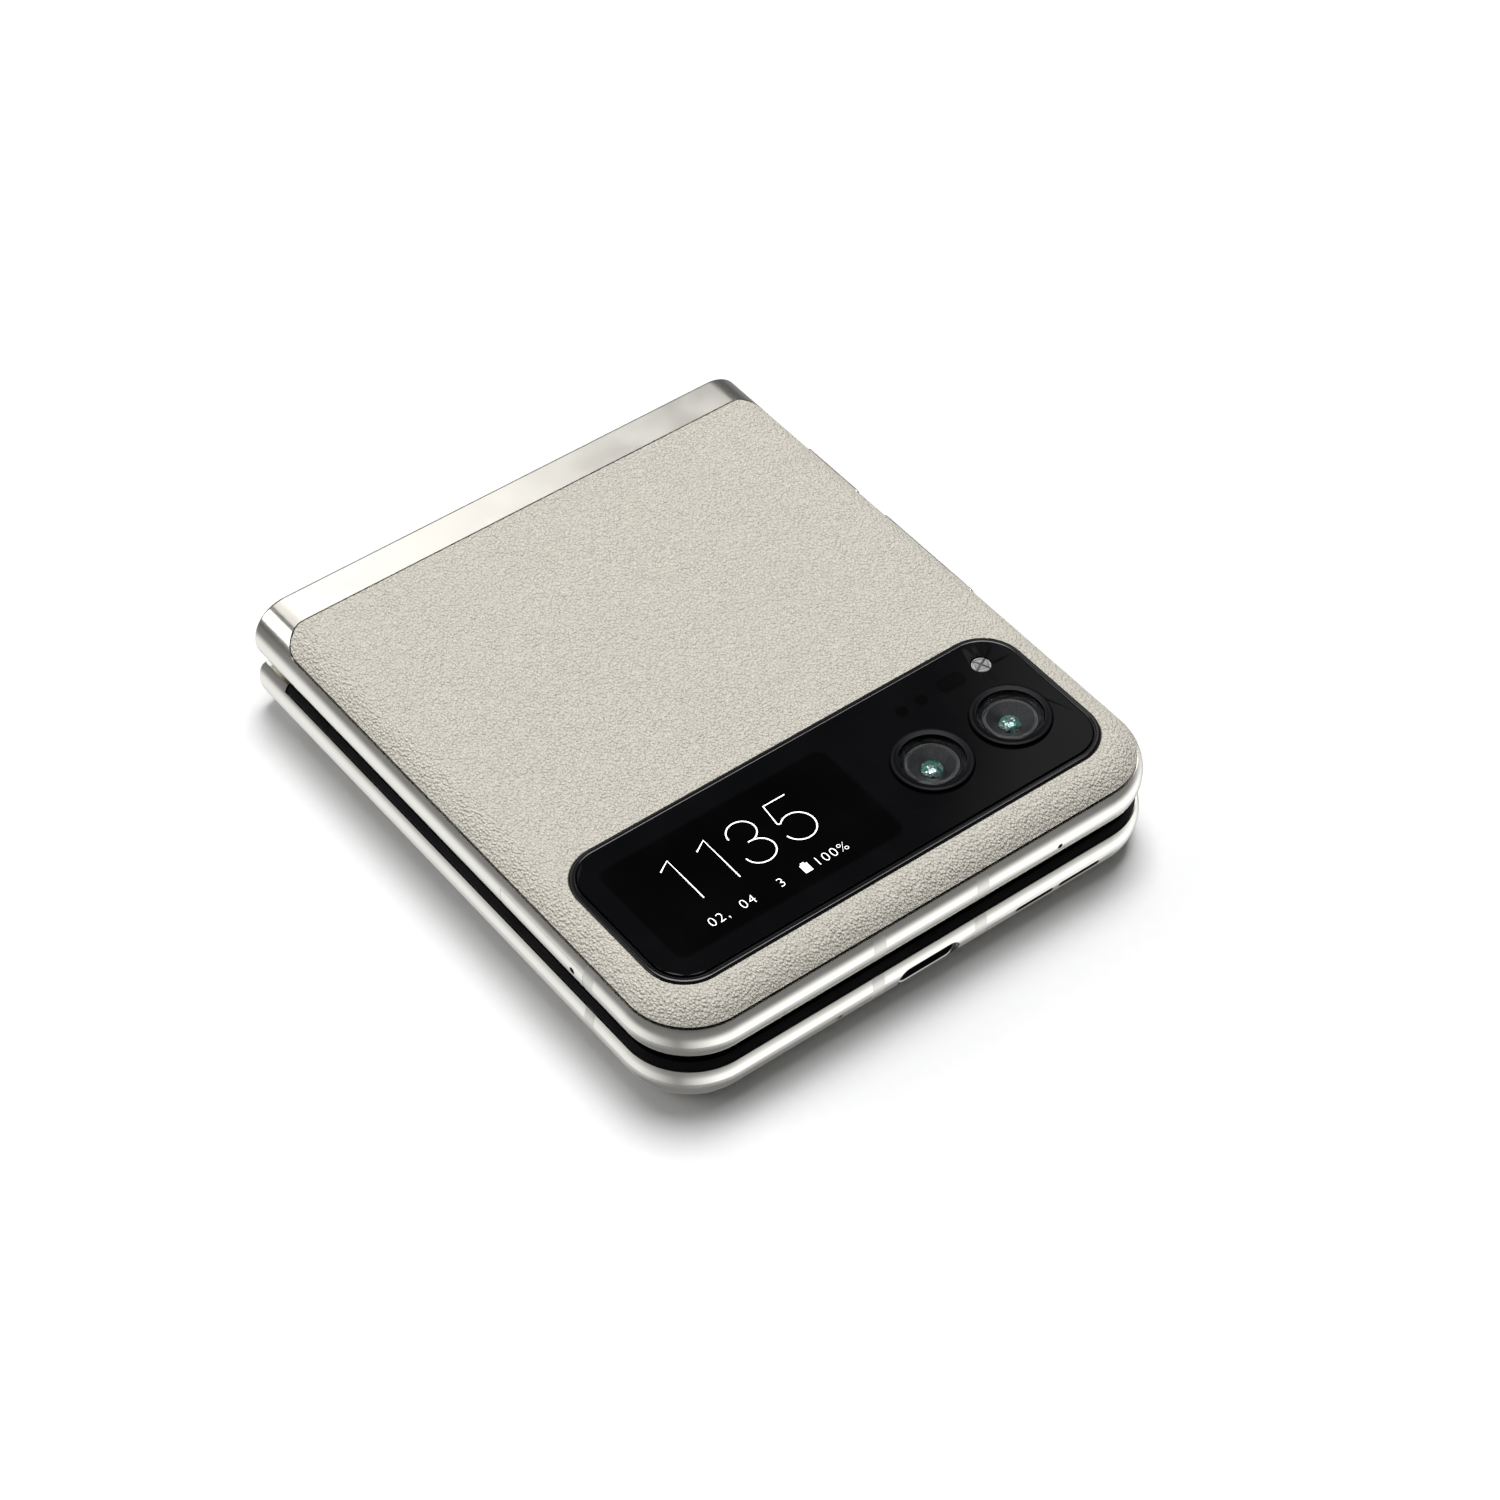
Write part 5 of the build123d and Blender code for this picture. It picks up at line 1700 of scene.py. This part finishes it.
@dataclass
class FoldStrips:
    """The display and the hinge cable where they turn round inside the fold, each in two curved strips.

    `blend_out` and `blend_past` are not used.
    """

    axis_y: float = 39.3
    middle_z: float = 7.9
    steps: int = 18
    blend_out: float = 2.2
    blend_past: float = 1.2

    def build(self, palette: Palette) -> None:
        """Models the strips.

        Args:
            palette: The finishes.
        """
        display = [
            self._strip("display_bend", 33.4, 1.05, 1.55, half, palette.display, "display_film")
            for half in (Body.LOWER, Body.UPPER)
        ]
        for piece in display:
            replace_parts(piece, "display_fold")
        cable = [
            self._strip("cable_bend", 4.0, 2.4, 2.6, half, palette.amber, "flex_amber")
            for half in (Body.LOWER, Body.UPPER)
        ]
        for piece in cable:
            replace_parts(piece, "flex_fold")

    def _strip(
        self, name: str, half_width: float, inner: float, outer: float, half: Body, finish: Material, slot: str
    ) -> bpy.types.Object:
        """Models a quarter turn of a strip, from one half to the middle of the fold.

        Args:
            name: What the strip is.
            half_width: Half its width.
            inner: Radius of its inner side.
            outer: Radius of its outer side.
            half: The half that it starts from.
            finish: Its material.
            slot: The record's material slot.

        Returns:
            The finished strip.
        """
        side = -1.0 if half is Body.LOWER else 1.0
        middle = (inner + outer) / 2
        bench = Bench(f"{name}_{half.value}")
        start = mm3(0.0, self.axis_y, self.middle_z + side * middle)
        bench.plate(0.0, self.axis_y, self.middle_z + side * middle, 2 * half_width, outer - inner)
        bpy.ops.mesh.select_all(action="SELECT")
        bpy.ops.transform.rotate(value=math.pi / 2, orient_axis="X", center_override=start)
        bpy.ops.mesh.spin(
            steps=self.steps,
            angle=side * math.pi / 2,
            center=mm3(0.0, self.axis_y, self.middle_z),
            axis=(1.0, 0.0, 0.0),
        )
        bench.tidy()
        piece = bench.finish(None, finish, slot)
        if half is Body.LOWER:
            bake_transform(piece)
        else:
            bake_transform(piece)
        return piece


# ---------------------------------------------------------------------------------------------------------------
# Studio
# ---------------------------------------------------------------------------------------------------------------


@dataclass
class SoftBox:
    """One soft light of the studio, in metres and watts."""

    name: str
    place: Triple
    aim: Triple
    width: float
    height: float
    power: float

    def build(self) -> None:
        """Hangs the light."""
        lamp = bpy.data.lights.new(self.name, "AREA")
        lamp.shape = "RECTANGLE"
        lamp.size = self.width
        lamp.size_y = self.height
        lamp.energy = self.power
        holder = bpy.data.objects.new(self.name, lamp)
        holder.location = self.place
        holder.rotation_euler = (Vector(self.aim) - Vector(self.place)).to_track_quat("-Z", "Y").to_euler()
        bpy.context.collection.objects.link(holder)


@dataclass
class Studio:
    """Floor, room, camera and lights.

    The strips are the low bright bands that the polished rails mirror. Their heights are those of a direction that
    is one long, from -1 straight down to 1 straight up.
    """

    camera_place: Triple = (-201.7828, -270.9244, 360.174)
    camera_turn: float = -37.71
    camera_tilt: float = 43.354
    camera_roll: float = 0.2
    focal_length: float = 96.994
    sensor_width: float = 36.0
    nearest: float = 0.01
    farthest: float = 20.0
    floor_size: float = 6.0
    floor_rim: float = 0.4
    floor_drop: float = 0.00006
    floor_colour: Colour = (0.84, 0.84, 0.84)
    sky: Colour = (0.96, 0.98, 1.0)
    sky_strength: float = 0.13
    low_strength: float = 0.11
    strip_strength: float = 1.3
    strip_way: Triple = (0.61, -0.79, 0.0)
    strip_rise: Point = (-0.93, -0.76)
    strip_fall: Point = (-0.57, -0.24)
    horizon: Point = (-0.06, 0.04)

    def build(self) -> None:
        """Sets the studio up."""
        self._floor()
        self._sky()
        self._camera()
        self._lights()

    def _floor(self) -> None:
        """Lays the pale round floor, just under the phone."""
        Bench.clear()
        bpy.ops.mesh.primitive_circle_add(
            vertices=96, radius=self.floor_size / 2, fill_type="NGON", location=(0.0, 0.0, -self.floor_drop)
        )
        floor = bpy.context.object
        floor.name = "studio_floor"
        Bench.apply_place()
        bpy.ops.object.mode_set(mode="EDIT")
        bpy.ops.mesh.select_all(action="SELECT")
        bpy.ops.mesh.inset(thickness=self.floor_rim, depth=0.0)
        bpy.ops.object.mode_set(mode="OBJECT")
        floor.data.materials.append(StageFinish("floor_paper", self.floor_colour).build())
        floor.visible_glossy = False

    def _sky(self) -> None:
        """Fills the room with even pale light, and with two soft low strips that the polished rails mirror."""
        world = bpy.data.worlds.new("studio_room")
        world.use_nodes = True
        sheet = NodeSheet(world.node_tree)
        way = sheet.node("ShaderNodeTexCoord", {}).outputs["Generated"]
        height = sheet.node("ShaderNodeSeparateXYZ", {"Vector": way}).outputs["Z"]
        rise = sheet.span(height, 0.0, 1.0, *self.strip_rise, soft=True)
        fall = sheet.span(height, 1.0, 0.0, *self.strip_fall, soft=True)
        along = sheet.measure("DOT_PRODUCT", way, self.strip_way)
        front = sheet.span(along, 0.06, 1.0, 0.0, 0.67)
        share = sheet.maths("ADD", front, sheet.span(along, 0.62, 0.0, -0.67, 0.0))
        strip = sheet.maths("MULTIPLY", sheet.maths("MULTIPLY", rise, fall), share)
        low = self.sky_strength + self.low_strength
        even = sheet.span(height, low, self.sky_strength, *self.horizon, soft=True)
        background = sheet.nodes["Background"]
        background.inputs["Color"].default_value = (*self.sky, 1.0)
        sheet.links.new(sheet.sum(even, strip, self.strip_strength), background.inputs["Strength"])
        bpy.context.scene.world = world

    def _camera(self) -> None:
        """Sets the camera."""
        lens = bpy.data.cameras.new("studio_camera")
        lens.lens = self.focal_length
        lens.sensor_width = self.sensor_width
        lens.clip_start = self.nearest
        lens.clip_end = self.farthest
        holder = bpy.data.objects.new("studio_camera", lens)
        turn = Euler((math.radians(self.camera_tilt), 0.0, math.radians(self.camera_turn))).to_matrix()
        roll = Matrix.Rotation(math.radians(self.camera_roll), 3, "Z")
        holder.matrix_world = Matrix.LocRotScale(mm3(*self.camera_place), turn @ roll, None)
        bpy.context.collection.objects.link(holder)
        bpy.context.scene.camera = holder

    def _lights(self) -> None:
        """Hangs the soft boxes."""
        boxes = (
            SoftBox("key_box", (0.33, 0.3, 1.5), (0.0, 0.0, 0.0), 0.85, 0.85, 28.0),
            SoftBox("back_box", (0.275, 0.95, 0.96), (0.275, 0.0, 0.96), 1.25, 0.48, 0.8),
            SoftBox("back_box_near", (0.135, 0.949, 0.96), (0.135, 0.0, 0.96), 0.97, 0.48, 1.4),
            SoftBox("glass_box", (1.28, 0.95, 1.5), (1.28, 0.0, 1.5), 0.7, 0.7, 2.6),
            SoftBox("side_box", (-0.95, 0.66, 0.66), (0.0, 0.0, 0.0), 1.0, 0.6, 5.4),
        )
        for box in boxes:
            box.build()


def main() -> None:
    """Builds the dressed phone piece by piece."""
    logging.basicConfig(level=logging.INFO, format="%(name)s: %(message)s")
    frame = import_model()
    bpy.context.scene.view_settings.view_transform = "Standard"
    palette = Palette()
    palette.dress(frame)
    Studio().build()
    LeatherSkin("upper_leather_skin", "upper_leather", Body.UPPER, 0.82, True).build(palette)
    LeatherSkin("lower_leather_skin", "lower_leather", Body.LOWER, 1.5, False).build(palette)
    CoverGlass().build(palette)
    Cameras().build(palette)
    Clock().build(palette)
    FoldStrips().build(palette)
    bpy.context.view_layer.update()


if __name__ == "__main__":
    main()
